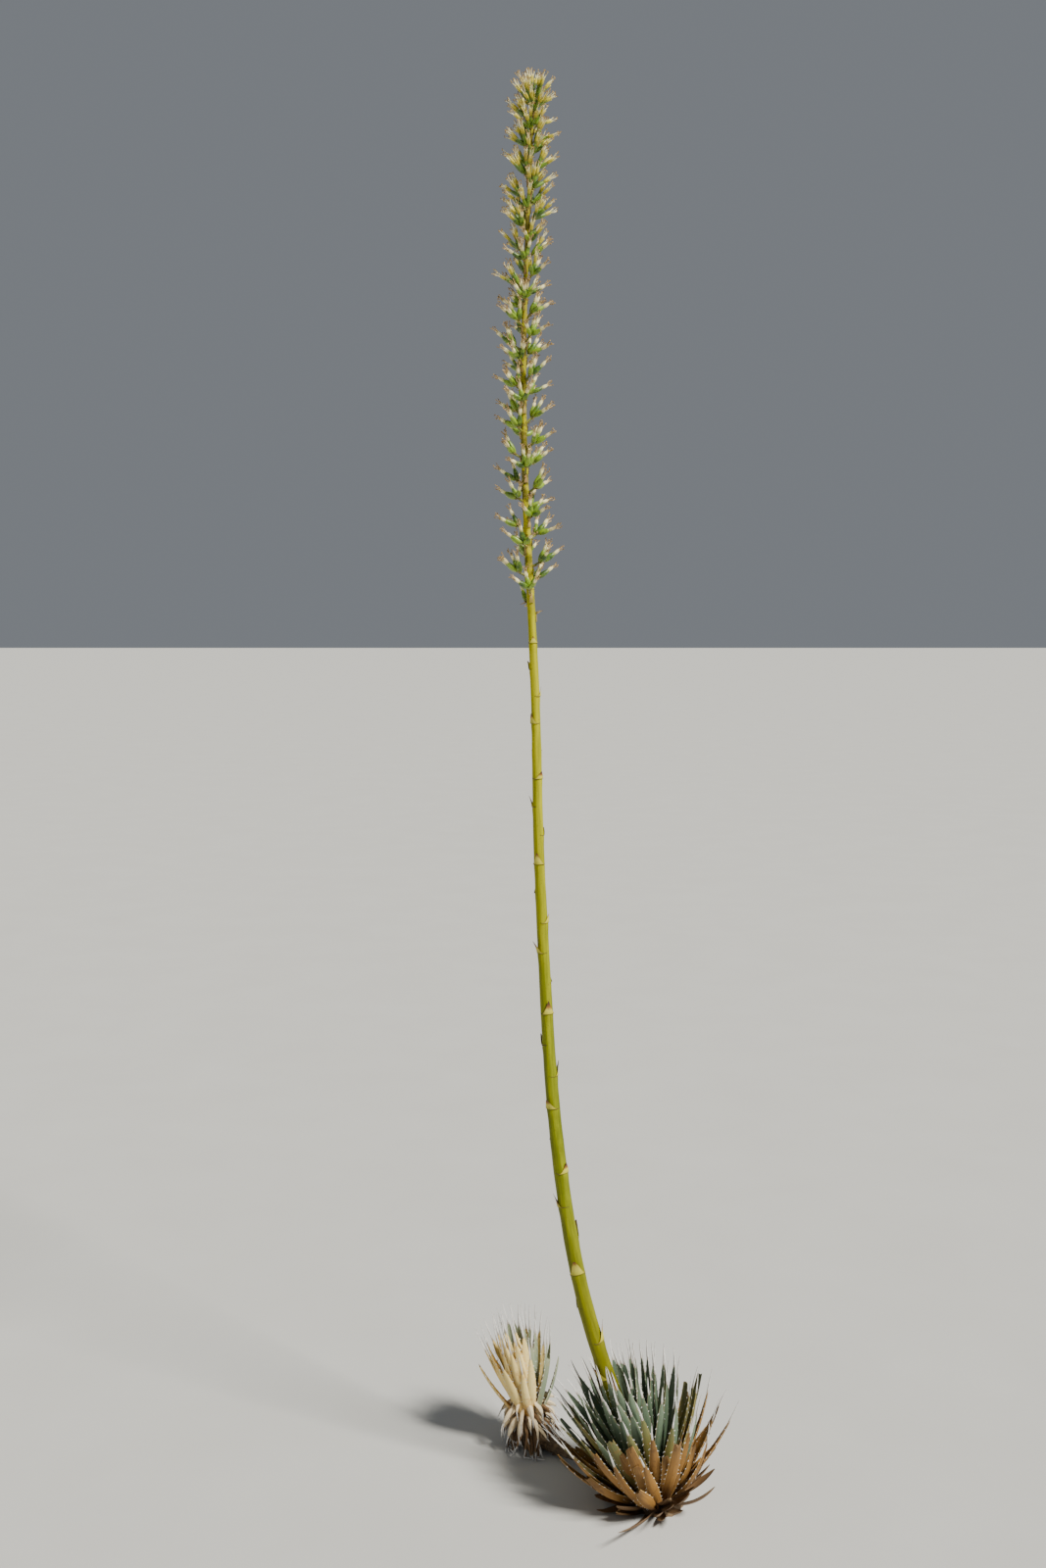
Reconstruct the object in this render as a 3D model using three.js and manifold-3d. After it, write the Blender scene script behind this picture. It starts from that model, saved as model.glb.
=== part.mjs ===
// A flowering desert agave: a leaning flower stalk on a short stem, tiers of flower branchlets round the
// upper third of the stalk, the rosette of leaves round its foot, and one smaller offset rosette beside it.
// Millimetres, +Z up, +X to the right and +Y away from the viewer. The origin is the middle of the stem's
// flat cut at ground level, and the ground is the plane z = 0.

import * as THREE from "three";
import Module from "manifold-3d";

const wasm = await Module();
wasm.setup();

const degrees = THREE.MathUtils.degToRad;

// The stalk and the short stem under it
const stalkHeight = 2562; // where the stalk's own wood ends, inside the top flowers
const stalkFootRadius = 16.5; // the taper's radius carried down to the ground
const stalkTipRadius = 2.2;
const crownSwell = 28; // how much the short stem is thicker than the stalk that it carries
const crownHeight = 72; // height at which that swelling has mostly gone
const heelSlope = 0.5; // sideways run for each unit of height, far below the bend
const bendHeight = 400; // where the stalk straightens up
const bendWidth = 240;
const drift = 0.004; // slight lean that is left above the bend
const bow = 27; // second, gentle bow to the left under the flowers
const bowHeight = 2050;
const bowSpread = 480;
const kinkDepth = 4; // two slight kinks to the left, at these heights and this long
const kinkHeights = [370, 1280];
const kinkSpread = 190;
const depthBow = 22; // bow away from the viewer
const flatCut = 60; // the stalk's sections turn from level to square within this height
const crownRings = [0, 24, 50, 68, 84, 100]; // heights of the short stem's sections
const firstStalkRing = 118;
const ringSpacing = 62;
const stalkSides = 10;

// The bracts on the bare stalk; a pair holds the value at the ground and the value under the flowers
const firstBract = 250;
const bractSpacing = [72, 46];
const bractLength = [52, 17];
const bractTurn = degrees(215); // where the lowest bract faces
const bractHeadroom = 18; // bare height left under the lowest flowers

// The flowering part; a pair holds the value at its foot and the value at its tip
const spikeFoot = 1664;
const tierCount = 12;
const branchletCount = 70;
const crowding = 0.35; // share by which the spacing tightens towards the top
const rind = 1.6; // each tier's sleeve replaces this much of the stalk's radius
const rootDepth = 1; // how deep a twig's root is set in that sleeve
const branchletRise = [24, 52]; // degrees above the level
const branchletLength = [14, 7];
const branchletSpread = [9, 5]; // a branchlet is up to so much longer
const flowersEach = [2.8, 2.1];
const fanWidth = [100, 84]; // degrees between a branchlet's outermost flowers
const lowRise = [22, 34]; // degrees above the level, for every other flower
const highRise = [66, 74]; // the same for the flowers between them
const gathering = 34; // degrees by which the topmost flowers close up into a tuft
const gatheringShare = 0.05; // share of the branchlets that make the tuft
const ovaryLength = [22, 16];
const ovaryRadius = [6.2, 3.6];
const petalLength = [12, 15];
const petalRadius = 3.2;
const brushLength = [11, 12]; // stamens beyond the petals
const neckRadius = 4.9; // ovaries thicker than this have a neck below the petals

// The leaves of both rosettes
const rootStandoff = 1.2; // how far a leaf's root stands out from the stem
const rootWidth = 0.16; // half its width there, as a share of the stem's radius
const leafNeck = 0.16; // share of the blade's length within which it widens from its root
const leafStations = [0, leafNeck, 0.46, 0.78, 1]; // where the blade's sections lie
const heelDepth = 4.5; // how far the bands of leaf bases stand out from the stem
const heelAngle = degrees(11); // half the angle that such a band spans
const heelOverrun = 1.4; // places in the spiral by which a band passes its end leaves
const goldenTurn = degrees(137.508);
const gap = 0.35; // clearance between neighbouring solids

// Each rosette: its leaves, the heights of their roots, their tilts from its axis and their sizes
const mainRosette = {
  leaves: 52, ranks: 8, tiers: ["outer_leaves", "middle_leaves", "inner_leaves"], seed: 100,
  lowRoot: 18, highRoot: 106, widestTilt: 52, steepestTilt: 8, lean: 14, leanTowards: 180,
  blade: 180, halfWidth: 14.5, thickness: 10, spine: 36, leastRise: 0.3, incurve: 28,
};
const offsetRosette = {
  leaves: 24, ranks: 8, tiers: ["offset_leaves"], seed: 400,
  lowRoot: 64, highRoot: 124, widestTilt: 30, steepestTilt: 5, lean: 11, leanTowards: 165,
  blade: 132, halfWidth: 11.5, thickness: 8, spine: 42, leastRise: 0.3, incurve: 16,
};

// The offset's short stem and the runner that joins it to the main stem
const offsetFoot = new THREE.Vector3(-232, 208, 0);
const offsetRings = [0, 52, 80, 100, 120, 146];
const offsetStemRadius = 13;
const offsetSwell = 12;
const offsetCrownHeight = 106;
const runnerRadius = 10;
const runnerThickening = 2.5; // at both ends
const runnerLift = 3; // clear height under the runner
const runnerArch = 5;
const runnerStart = 18;
const runnerSpacing = 48;

const colours = {
  stalk: 0xb3ac22, wood: 0x7a6248, dry: 0xb98a4a, green: 0x7f937b, straw: 0xdcc38a, flowers: 0x9dad55,
};

/** A repeatable number from 0 to 1 for an item and a use. */
function scatter(item, use) {
  const wave = Math.sin(item * 12.9898 + use * 78.233) * 43758.5453;
  return wave - Math.floor(wave);
}

/** A repeatable number from -1 to 1. */
const sway = (item, use) => 2 * scatter(item, use) - 1;
const mix = (from, to, share) => from + (to - from) * share;

/** A solid from a closed geometry whose corners are shared. */
function solid(geometry) {
  return new wasm.Manifold(new wasm.Mesh({
    numProp: 3,
    vertProperties: new Float32Array(geometry.getAttribute("position").array),
    triVerts: new Uint32Array(geometry.index.array),
  }));
}

/** A closed skin over a row of rings. Each ring runs counter-clockwise seen from the last one. */
function skin(rings) {
  const firsts = rings.map((_, row) => rings.slice(0, row).reduce((sum, ring) => sum + ring.length, 0));
  const faces = [];
  for (let row = 0; row + 1 < rings.length; row++) {
    const lower = rings[row].length;
    const upper = rings[row + 1].length;
    const sides = Math.max(lower, upper);
    for (let side = 0; side < sides; side++) {
      const next = (side + 1) % sides;
      const a = firsts[row] + (lower > 1 ? side : 0);
      const b = firsts[row] + (lower > 1 ? next : 0);
      const c = firsts[row + 1] + (upper > 1 ? next : 0);
      const d = firsts[row + 1] + (upper > 1 ? side : 0);
      if (lower > 1) faces.push(a, b, c);
      if (upper > 1) faces.push(a, c, d);
    }
  }
  const last = rings.length - 1;
  for (let side = 1; side + 1 < rings[0].length; side++) faces.push(0, side + 1, side);
  for (let side = 1; side + 1 < rings[last].length; side++) {
    faces.push(firsts[last], firsts[last] + side, firsts[last] + side + 1);
  }
  return solid(new THREE.BufferGeometry().setFromPoints(rings.flat()).setIndex(faces));
}

/** A flat ring of points round a centre, square to a direction. */
function ring(centre, direction, radius, sides) {
  const across = new THREE.Vector3(0, 1, 0).cross(direction).normalize();
  const behind = direction.clone().cross(across);
  return Array.from({ length: sides }, (_, side) => {
    const turn = (2 * Math.PI * side) / sides;
    return centre.clone()
      .addScaledVector(across, radius * Math.cos(turn))
      .addScaledVector(behind, radius * Math.sin(turn));
  });
}

/** A limb that follows a line of heights, with a radius for each. */
function limb(heights, lineAt, directionAt, radiusAt, sides) {
  return skin(heights.map((z) => ring(lineAt(z), directionAt(z), radiusAt(z), sides)));
}

/** Heights from one to another, spaced evenly. */
function steps(from, to, spacing) {
  const count = Math.max(1, Math.round((to - from) / spacing));
  return Array.from({ length: count + 1 }, (_, step) => mix(from, to, step / count));
}

/** The middle of the stalk at a height. */
function stalkLine(z) {
  const past = Math.log(1 + Math.exp((z - bendHeight) / bendWidth));
  const rise = past - Math.log(1 + Math.exp(-bendHeight / bendWidth));
  const bulge = (height, spread) => Math.exp(-(((z - height) / spread) ** 2));
  const kinked = kinkDepth * (bulge(kinkHeights[0], kinkSpread) + bulge(kinkHeights[1], kinkSpread));
  const bowed = bow * bulge(bowHeight, bowSpread) + kinked;
  const x = -heelSlope * (z - bendWidth * rise) - drift * z - bowed;
  return new THREE.Vector3(x, depthBow * Math.sin((Math.PI * z) / stalkHeight), z);
}

/** The direction that the stalk grows in at a height, level-cut at the ground. */
function stalkDirection(z) {
  const slope = stalkLine(z + 1).sub(stalkLine(Math.max(0, z - 1))).normalize();
  return new THREE.Vector3(0, 0, 1).lerp(slope, Math.min(1, z / flatCut)).normalize();
}

const stalkTaper = (z) => mix(stalkFootRadius, stalkTipRadius, z / stalkHeight);
const stemRadius = (z) => stalkTaper(z) + crownSwell * Math.exp(-((z / crownHeight) ** 4));

/** One pointed bract that clasps the stalk, its root sunk in the stalk. */
function bract(number, z) {
  const share = z / spikeFoot;
  const turn = number * goldenTurn + bractTurn;
  const up = stalkDirection(z);
  const out = new THREE.Vector3(Math.cos(turn), Math.sin(turn), 0).projectOnPlane(up).normalize();
  const across = out.clone().cross(up).normalize();
  const radius = stalkTaper(z);
  const length = mix(...bractLength, Math.sqrt(share));
  const section = (along, distance, halfWidth, depth) => {
    const centre = stalkLine(z).addScaledVector(up, along).addScaledVector(out, distance);
    return [
      centre.clone().addScaledVector(across, halfWidth),
      centre.clone().addScaledVector(out, depth),
      centre.clone().addScaledVector(across, -halfWidth),
    ];
  };
  return skin([
    section(0, radius * 0.5, radius * 0.76, radius * 0.76),
    section(length * 0.45, radius * 0.78, radius * 0.42, radius * 0.4),
    [stalkLine(z).addScaledVector(up, length).addScaledVector(out, radius * 1.3)],
  ]);
}

/** Where the bracts stand on the bare stalk: closer together towards the flowers. */
function bractHeights() {
  const heights = [];
  for (let z = firstBract; z < spikeFoot - bractHeadroom; z += mix(...bractSpacing, z / spikeFoot)) {
    heights.push(z);
  }
  return heights;
}

/** The short stem and the whole stalk, from the ground to its tip, with its bracts. */
function flowerStalk() {
  const lower = [...crownRings, ...steps(firstStalkRing, spikeFoot, ringSpacing)];
  const upper = steps(spikeFoot + 0.5, stalkHeight, ringSpacing);
  const radiusAt = (z) => (z > spikeFoot ? stalkTaper(z) - rind : stemRadius(z));
  const stalk = limb([...lower, ...upper], stalkLine, stalkDirection, radiusAt, stalkSides);
  return bractHeights().reduce((whole, z, number) => whole.add(bract(number, z)), stalk);
}

/** The foot of the stalk, larger by the clearance, for cutting the pieces that stand round it. */
function grownStem() {
  const heights = [...crownRings, ...steps(firstStalkRing, firstStalkRing + 3 * ringSpacing, ringSpacing)];
  const grownRadius = (z) => stemRadius(z) + gap;
  return limb(heights, stalkLine, stalkDirection, grownRadius, stalkSides).add(bract(0, firstBract));
}

/** The offset's line: straight up from its foot, leaning as its rosette does. */
function offsetLine(z) {
  const turn = degrees(offsetRosette.leanTowards);
  const run = z * Math.tan(degrees(offsetRosette.lean));
  return offsetFoot.clone().add(new THREE.Vector3(Math.cos(turn) * run, Math.sin(turn) * run, z));
}

const offsetRadius = (z) => offsetStemRadius + offsetSwell * Math.exp(-((z / offsetCrownHeight) ** 4));

/** The offset's short stem, cut level at the ground, and its runner. */
function offsetStem(grow = 0) {
  const level = new THREE.Vector3(0, 0, 1);
  const stem = limb(offsetRings, offsetLine, () => level, (z) => offsetRadius(z) + grow, stalkSides);
  const reach = offsetFoot.length();
  const along = offsetFoot.clone().normalize();
  const middle = runnerRadius + runnerLift;
  const lineAt = (distance) => along.clone().multiplyScalar(distance)
    .setZ(middle + runnerArch * Math.sin((Math.PI * distance) / reach));
  const radiusAt = (distance) => runnerRadius
    + runnerThickening * Math.cos((2 * Math.PI * distance) / reach) + grow;
  return stem.add(limb(steps(runnerStart, reach, runnerSpacing), lineAt, () => along, radiusAt, 8));
}

/** The rosette's axis, tilted from the upright. */
function rosetteAxis(rosette) {
  const turn = degrees(rosette.leanTowards);
  const lean = degrees(rosette.lean);
  const out = Math.sin(lean);
  return new THREE.Vector3(Math.cos(turn) * out, Math.sin(turn) * out, Math.cos(lean));
}

/** The direction square to an axis that faces a turn round it. */
function facing(turn, axis) {
  return new THREE.Vector3(Math.cos(turn), Math.sin(turn), 0).projectOnPlane(axis).normalize();
}

/** The age of a leaf's place in the spiral: 0 for the oldest, lowest leaf and 1 for the youngest. */
const ageOf = (rosette, number) => number / (rosette.leaves - 1);
const rootHeight = (rosette, number) => mix(rosette.lowRoot, rosette.highRoot, ageOf(rosette, number));

/** The tilt of a leaf from the rosette's axis: the oldest lie widest, but still rise from the ground. */
function leafTilt(rosette, number, axis, out) {
  const age = ageOf(rosette, number);
  const spread = mix(rosette.widestTilt, rosette.steepestTilt, age ** 0.82);
  let tilt = degrees(spread + 2.5 * sway(rosette.seed + number, 3));
  while (out.z * Math.sin(tilt) + axis.z * Math.cos(tilt) < rosette.leastRise) tilt -= degrees(1);
  return tilt;
}

/** The line and size of one leaf, worked out from its place in the rosette's spiral. */
function leafOf(rosette, number, centreAt, rootRadius) {
  const age = ageOf(rosette, number);
  const seed = rosette.seed + number;
  const axis = rosetteAxis(rosette);
  const out = facing(number * goldenTurn + degrees(2.5 * sway(seed, 1)), axis);
  const height = rootHeight(rosette, number);
  const prime = Math.sin(Math.PI * mix(0.2, 0.8, age)); // leaves of middle age are the largest
  return {
    axis,
    out,
    tilt: leafTilt(rosette, number, axis, out),
    curl: degrees(mix(rosette.incurve, 8, age) + 4 * sway(seed, 2)),
    root: centreAt(height).addScaledVector(out, rootRadius(height) + rootStandoff),
    rootHalf: rootRadius(height) * rootWidth,
    length: rosette.blade * (0.76 + 0.26 * prime) * (1 + 0.06 * sway(seed, 4)),
    halfWidth: rosette.halfWidth * (0.8 + 0.22 * prime) * (1 + 0.07 * sway(seed, 5)),
    thickness: rosette.thickness * mix(1, 0.72, age),
    spine: rosette.spine * (1 + 0.2 * sway(seed, 6)),
  };
}

/** The direction of a leaf at a share of its length: it curls in towards the rosette's axis. */
function leafDirection(leaf, along) {
  const angle = leaf.tilt + leaf.curl * (0.5 - along);
  return leaf.out.clone().multiplyScalar(Math.sin(angle)).addScaledVector(leaf.axis, Math.cos(angle));
}

/** Half the blade's width at a share of its length: slim at the crowded root, blunt before the spine. */
function bladeHalf(leaf, along) {
  const full = leaf.halfWidth * (0.1 + 0.9 * (1 - along ** 3) ** 0.9);
  return Math.min(full, mix(leaf.rootHalf, leaf.halfWidth, along / leafNeck));
}

/** The depth of the keel under the blade: shallow at the root and thin at the tip. */
function keelDepth(leaf, along) {
  return leaf.thickness * Math.min(mix(0.78, 0.16, along ** 0.7), 0.3 + 2.6 * along);
}

/** One stiff leaf: a channelled blade with a keel below, drawn out into a spine. */
function leafSolid(leaf, grow = 0) {
  const place = leaf.root.clone();
  const rings = leafStations.map((along, row) => {
    if (row > 0) {
      const step = along - leafStations[row - 1];
      place.addScaledVector(leafDirection(leaf, along - step / 2), step * leaf.length);
    }
    const forward = leafDirection(leaf, along);
    const above = leaf.out.clone().projectOnPlane(forward).normalize().negate();
    const across = above.clone().cross(forward);
    const half = bladeHalf(leaf, along) + grow;
    const keel = keelDepth(leaf, along) + grow;
    const channel = half * 0.16;
    return [
      place.clone().addScaledVector(above, -keel),
      place.clone().addScaledVector(above, channel).addScaledVector(across, half),
      place.clone().addScaledVector(above, keel * 0.22 + grow),
      place.clone().addScaledVector(above, channel).addScaledVector(across, -half),
    ];
  });
  rings.push([place.clone().addScaledVector(leafDirection(leaf, 1), leaf.spine + grow)]);
  return skin(rings);
}

/** The band of old leaf bases on the stem that joins the leaves of one rank and age. */
function heel(rosette, members, centreAt, rootRadius) {
  const axis = rosetteAxis(rosette);
  const ends = [members[0] - heelOverrun, members[members.length - 1] + heelOverrun];
  const places = members.length > 2 ? [ends[0], members[1], ends[1]] : ends;
  const rankTurn = THREE.MathUtils.euclideanModulo(rosette.ranks * goldenTurn, 2 * Math.PI);
  return skin(places.map((place) => {
    const height = rootHeight(rosette, place);
    const turn = members[0] * goldenTurn + ((place - members[0]) / rosette.ranks) * rankTurn;
    const corner = (side, distance) => centreAt(height)
      .addScaledVector(facing(turn + side * heelAngle, axis), rootRadius(height) + distance);
    return [
      corner(-1, -heelDepth / 2),
      corner(-1, heelDepth),
      corner(1, heelDepth),
      corner(1, -heelDepth / 2),
    ];
  }));
}

/** The largest body of a solid, so that a scrap left by a cut is dropped. */
function largest(whole) {
  return whole.decompose().reduce((best, body) => (body.volume() > best.volume() ? body : best));
}

/** Whether the boxes round two solids overlap. */
function overlaps(a, b) {
  const one = a.boundingBox();
  const two = b.boundingBox();
  return [0, 1, 2].every((k) => one.min[k] < two.max[k] && two.min[k] < one.max[k]);
}

/** The numbers of the leaves in each group of a rosette, by the group's name. */
function leafMembers(rosette) {
  const members = new Map();
  for (let number = 0; number < rosette.leaves; number++) {
    const tier = rosette.tiers[Math.floor((number * rosette.tiers.length) / rosette.leaves)];
    const name = `${tier}_${(number % rosette.ranks) + 1}`;
    members.set(name, [...(members.get(name) ?? []), number]);
  }
  return members;
}

/** The leaves of a rosette, fused by rank and age, each trimmed clear of the pieces that stand already. */
function rosetteGroups(rosette, centreAt, rootRadius, standing) {
  const members = leafMembers(rosette);
  const trim = (body, name) => standing
    .filter((other) => other.name !== name && overlaps(body, other.grown))
    .reduce((rest, other) => rest.subtract(other.grown), body);
  const groups = new Map();
  for (const [name, numbers] of members) {
    const band = heel(rosette, numbers, centreAt, rootRadius);
    groups.set(name, trim(band, name));
    standing.push({ name, grown: band });
  }
  for (let number = 0; number < rosette.leaves; number++) {
    const name = [...members.keys()].find((key) => members.get(key).includes(number));
    const leaf = leafOf(rosette, number, centreAt, rootRadius);
    groups.set(name, groups.get(name).add(trim(leafSolid(leaf), name)));
    standing.push({ name, grown: leafSolid(leaf, gap) });
  }
  for (const [name, body] of groups) groups.set(name, largest(body));
  return groups;
}

/** The direction that faces a turn round the upright and rises above the level. */
function towards(turn, rise) {
  const level = Math.cos(rise);
  return new THREE.Vector3(Math.cos(turn) * level, Math.sin(turn) * level, Math.sin(rise));
}

/** The twig of the branchlet at one place in the spiral. */
function branchletOf(number) {
  const share = number / (branchletCount - 1);
  const climb = share * (1 + crowding) - crowding * share ** 2;
  const z = mix(spikeFoot + 8, stalkHeight - 6, climb);
  const turn = number * goldenTurn + degrees(16 * sway(number, 11));
  const rise = degrees(mix(...branchletRise, share) + 9 * sway(number, 12));
  const spare = mix(...branchletSpread, share) * scatter(number, 13);
  const length = stalkTaper(z) + mix(...branchletLength, share) + spare;
  const start = stalkLine(z);
  const tip = start.clone().addScaledVector(towards(turn, rise), length);
  const tier = Math.floor((number * tierCount) / branchletCount);
  return { number, share, z, turn, length, start, tip, tier };
}

/** One flower of a branchlet: its root, its direction and the sizes of its parts. */
function flowerOf({ number, share, turn, length, start, tip }, place, count) {
  const item = 1000 + number * 8 + place;
  const fan = count > 1 ? (place / (count - 1) - 0.5) * mix(...fanWidth, share) : 0;
  const closing = gathering * Math.max(0, (share - 1 + gatheringShare) / gatheringShare);
  const low = mix(...lowRise, share) + closing;
  const high = mix(...highRise, share) + closing / 2;
  const upper = place % 2 === 1;
  const rise = upper ? mix(low, high, 0.6 + 0.4 * scatter(item, 15)) : low + 12 * sway(item, 16);
  return {
    root: start.clone().lerp(tip, upper ? 0.66 : 1 - 1.2 / length),
    direction: towards(turn + degrees(fan + 10 * sway(item, 17)), degrees(rise)),
    ovary: mix(...ovaryLength, share) * (1 + 0.1 * sway(item, 18)),
    radius: mix(...ovaryRadius, share) * (1 + 0.12 * sway(item, 19)),
    petals: mix(...petalLength, share),
    brush: mix(...brushLength, share) * (1 + 0.2 * sway(item, 20)),
  };
}

/** The flowers of a branchlet; the two lowest branchlets carry one each. */
function flowersOf(branchlet) {
  const usual = mix(...flowersEach, branchlet.share) + 0.6 * sway(branchlet.number, 14);
  const count = branchlet.number < 2 ? 1 : Math.round(usual);
  return Array.from({ length: count }, (_, place) => flowerOf(branchlet, place, count));
}

const flowerLength = (flower) => flower.ovary + flower.petals + flower.brush;

/** The branchlet's own twig, its root set into the rind. */
function twigSolid({ z, turn, tip }, grow = 0) {
  const rootDistance = stalkTaper(z) - rootDepth - grow;
  const root = stalkLine(z).addScaledVector(towards(turn, 0), rootDistance);
  const direction = tip.clone().sub(root).normalize();
  const end = tip.clone().addScaledVector(direction, grow);
  const radius = Math.min(2.3, stalkTaper(z) * 0.5) + 2 * grow;
  return skin([ring(root, towards(turn, 0), radius, 3), ring(end, direction, 1.8 + grow, 3)]);
}

/** One flower: a swollen ovary, the narrow closed petals and the brush of stamens at its end. */
function flowerSolid(flower) {
  const along = (distance) => flower.root.clone().addScaledVector(flower.direction, distance);
  const ringAt = (distance, radius) => ring(along(distance), flower.direction, radius, 4);
  const neck = ringAt(flower.ovary + 1.5, flower.radius * 0.48);
  return skin([
    [along(0)],
    ringAt(flower.ovary * 0.55, flower.radius),
    ...(flower.radius > neckRadius ? [neck] : []),
    ringAt(flowerLength(flower) - flower.brush * 0.35, petalRadius),
    [along(flowerLength(flower))],
  ]);
}

/** The least distance between two flowers taken as straight rods. */
function rodDistance(one, two) {
  const samples = 8;
  let least = Infinity;
  for (let step = 0; step <= samples; step++) {
    const here = one.root.clone().addScaledVector(one.direction, (flowerLength(one) * step) / samples);
    const reach = here.clone().sub(two.root).dot(two.direction);
    const held = Math.min(flowerLength(two), Math.max(0, reach));
    least = Math.min(least, here.distanceTo(two.root.clone().addScaledVector(two.direction, held)));
  }
  return least;
}

/** Whether a flower stands clear of the stalk. */
function clearOfStalk(flower) {
  const end = flower.root.clone().addScaledVector(flower.direction, flowerLength(flower));
  const middle = flower.root.clone().lerp(end, 0.4);
  return [middle, end].every((point) => {
    const height = Math.min(point.z, stalkHeight);
    const room = stalkTaper(height) + flower.radius + 1;
    return point.z > stalkHeight + 6 || point.distanceTo(stalkLine(height)) > room;
  });
}

/** The branchlets with the flowers that keep clear of the stalk and of each other. */
function clearBranchlets() {
  const standing = [];
  return Array.from({ length: branchletCount }, (_, number) => {
    const branchlet = branchletOf(number);
    const apart = (flower) => standing.every((other) => {
      const closeness = other.tier === branchlet.tier ? 0.7 : 1; // flowers of one tier may touch
      const needed = (flower.radius + other.flower.radius) * closeness;
      return rodDistance(flower, other.flower) > needed + 1;
    });
    const flowers = flowersOf(branchlet).filter((flower) => clearOfStalk(flower) && apart(flower));
    standing.push(...flowers.map((flower) => ({ tier: branchlet.tier, flower })));
    return { ...branchlet, flowers };
  });
}

/** The heights between which each tier's sleeve lies. */
function tierLevels(branchlets) {
  const between = Array.from({ length: tierCount - 1 }, (_, tier) => {
    const first = branchlets.findIndex((branchlet) => branchlet.tier === tier + 1);
    return (branchlets[first - 1].z + branchlets[first].z) / 2;
  });
  return [spikeFoot + 1, ...between, stalkHeight + 7];
}

/** One tier's sleeve of rind; the topmost one closes over the stalk's tip. */
function sleeve(low, high, isTop) {
  const tipRadius = 1.4;
  const outer = (z) => (z > stalkHeight ? tipRadius : stalkTaper(z));
  const inner = (z) => stalkTaper(Math.min(z, stalkHeight)) - rind + gap;
  const ends = isTop ? [low, stalkHeight, high] : [low, high];
  const boreTop = isTop ? stalkHeight + gap : high + 2;
  const bore = limb([low - 2, boreTop], stalkLine, stalkDirection, inner, stalkSides);
  return limb(ends, stalkLine, stalkDirection, outer, stalkSides).subtract(bore);
}

/** The tiers of the flowering part, each a sleeve of rind with its branchlets and flowers. */
function flowerTiers() {
  const branchlets = clearBranchlets();
  const levels = tierLevels(branchlets);
  return Array.from({ length: tierCount }, (_, tier) => {
    const own = branchlets.filter((branchlet) => branchlet.tier === tier && branchlet.flowers.length > 0);
    let body = sleeve(levels[tier] + gap / 2, levels[tier + 1] - gap / 2, tier === tierCount - 1);
    for (const branchlet of own) {
      body = body.add(twigSolid(branchlet));
      for (const flower of branchlet.flowers) body = body.add(flowerSolid(flower));
    }
    for (const below of branchlets.filter((other) => other.tier === tier - 1)) {
      const grown = twigSolid(below, gap);
      if (overlaps(body, grown)) body = body.subtract(grown);
    }
    return [`flower_tier_${String(tier + 1).padStart(2, "0")}`, largest(body)];
  });
}

/** A named mesh of a finished solid. */
function mesh(name, body, colour, roughness) {
  const made = body.getMesh();
  const geometry = new THREE.BufferGeometry();
  geometry.setAttribute("position", new THREE.BufferAttribute(made.vertProperties.slice(), made.numProp));
  geometry.setIndex(new THREE.BufferAttribute(made.triVerts.slice(), 1));
  geometry.computeVertexNormals();
  const material = new THREE.MeshStandardMaterial({ color: colour, roughness, metalness: 0 });
  const part = new THREE.Mesh(geometry, material);
  part.name = name;
  return part;
}

const plant = new THREE.Group();
const stemCutter = grownStem();
plant.add(mesh("flower_stalk", flowerStalk(), colours.stalk, 0.55));
plant.add(mesh("offset_stem", largest(offsetStem().subtract(stemCutter)), colours.wood, 0.85));

const standing = [
  { name: "flower_stalk", grown: stemCutter },
  { name: "offset_stem", grown: offsetStem(gap) },
];
const leafColours = {
  outer_leaves: colours.dry, middle_leaves: colours.green, inner_leaves: colours.green,
  offset_leaves: colours.straw,
};
for (const [rosette, line, radius] of [
  [mainRosette, stalkLine, stemRadius], [offsetRosette, offsetLine, offsetRadius],
]) {
  for (const [name, body] of rosetteGroups(rosette, line, radius, standing)) {
    plant.add(mesh(name, body, leafColours[name.replace(/_\d+$/, "")], 0.7));
  }
}
for (const [name, body] of flowerTiers()) plant.add(mesh(name, body, colours.flowers, 0.6));

export default plant;
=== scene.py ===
# A flowering desert agave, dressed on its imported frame. Metres, +Z up, +X to the right and +Y away from the
# viewer. Stalk, leaves and flowers follow the rules of the solids, carried on to finer detail.

from math import cos, exp, hypot, log1p, pi, radians, sin, sqrt
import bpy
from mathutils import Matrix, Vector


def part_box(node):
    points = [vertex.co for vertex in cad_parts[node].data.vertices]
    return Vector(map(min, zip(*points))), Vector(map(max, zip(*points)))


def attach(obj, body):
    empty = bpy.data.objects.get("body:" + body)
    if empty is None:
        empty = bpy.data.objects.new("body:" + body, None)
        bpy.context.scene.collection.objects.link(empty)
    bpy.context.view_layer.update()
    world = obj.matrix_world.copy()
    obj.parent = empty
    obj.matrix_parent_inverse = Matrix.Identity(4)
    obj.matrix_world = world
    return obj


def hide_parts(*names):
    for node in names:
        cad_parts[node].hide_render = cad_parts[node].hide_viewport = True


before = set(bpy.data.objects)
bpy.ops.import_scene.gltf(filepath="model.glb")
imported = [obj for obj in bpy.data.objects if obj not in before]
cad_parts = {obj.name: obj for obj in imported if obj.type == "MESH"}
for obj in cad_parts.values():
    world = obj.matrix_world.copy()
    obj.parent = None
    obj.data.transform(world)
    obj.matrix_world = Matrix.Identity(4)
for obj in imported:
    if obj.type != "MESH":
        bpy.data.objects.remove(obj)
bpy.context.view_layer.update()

from types import SimpleNamespace as Form

import bmesh
import bpy
import numpy as np

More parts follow.
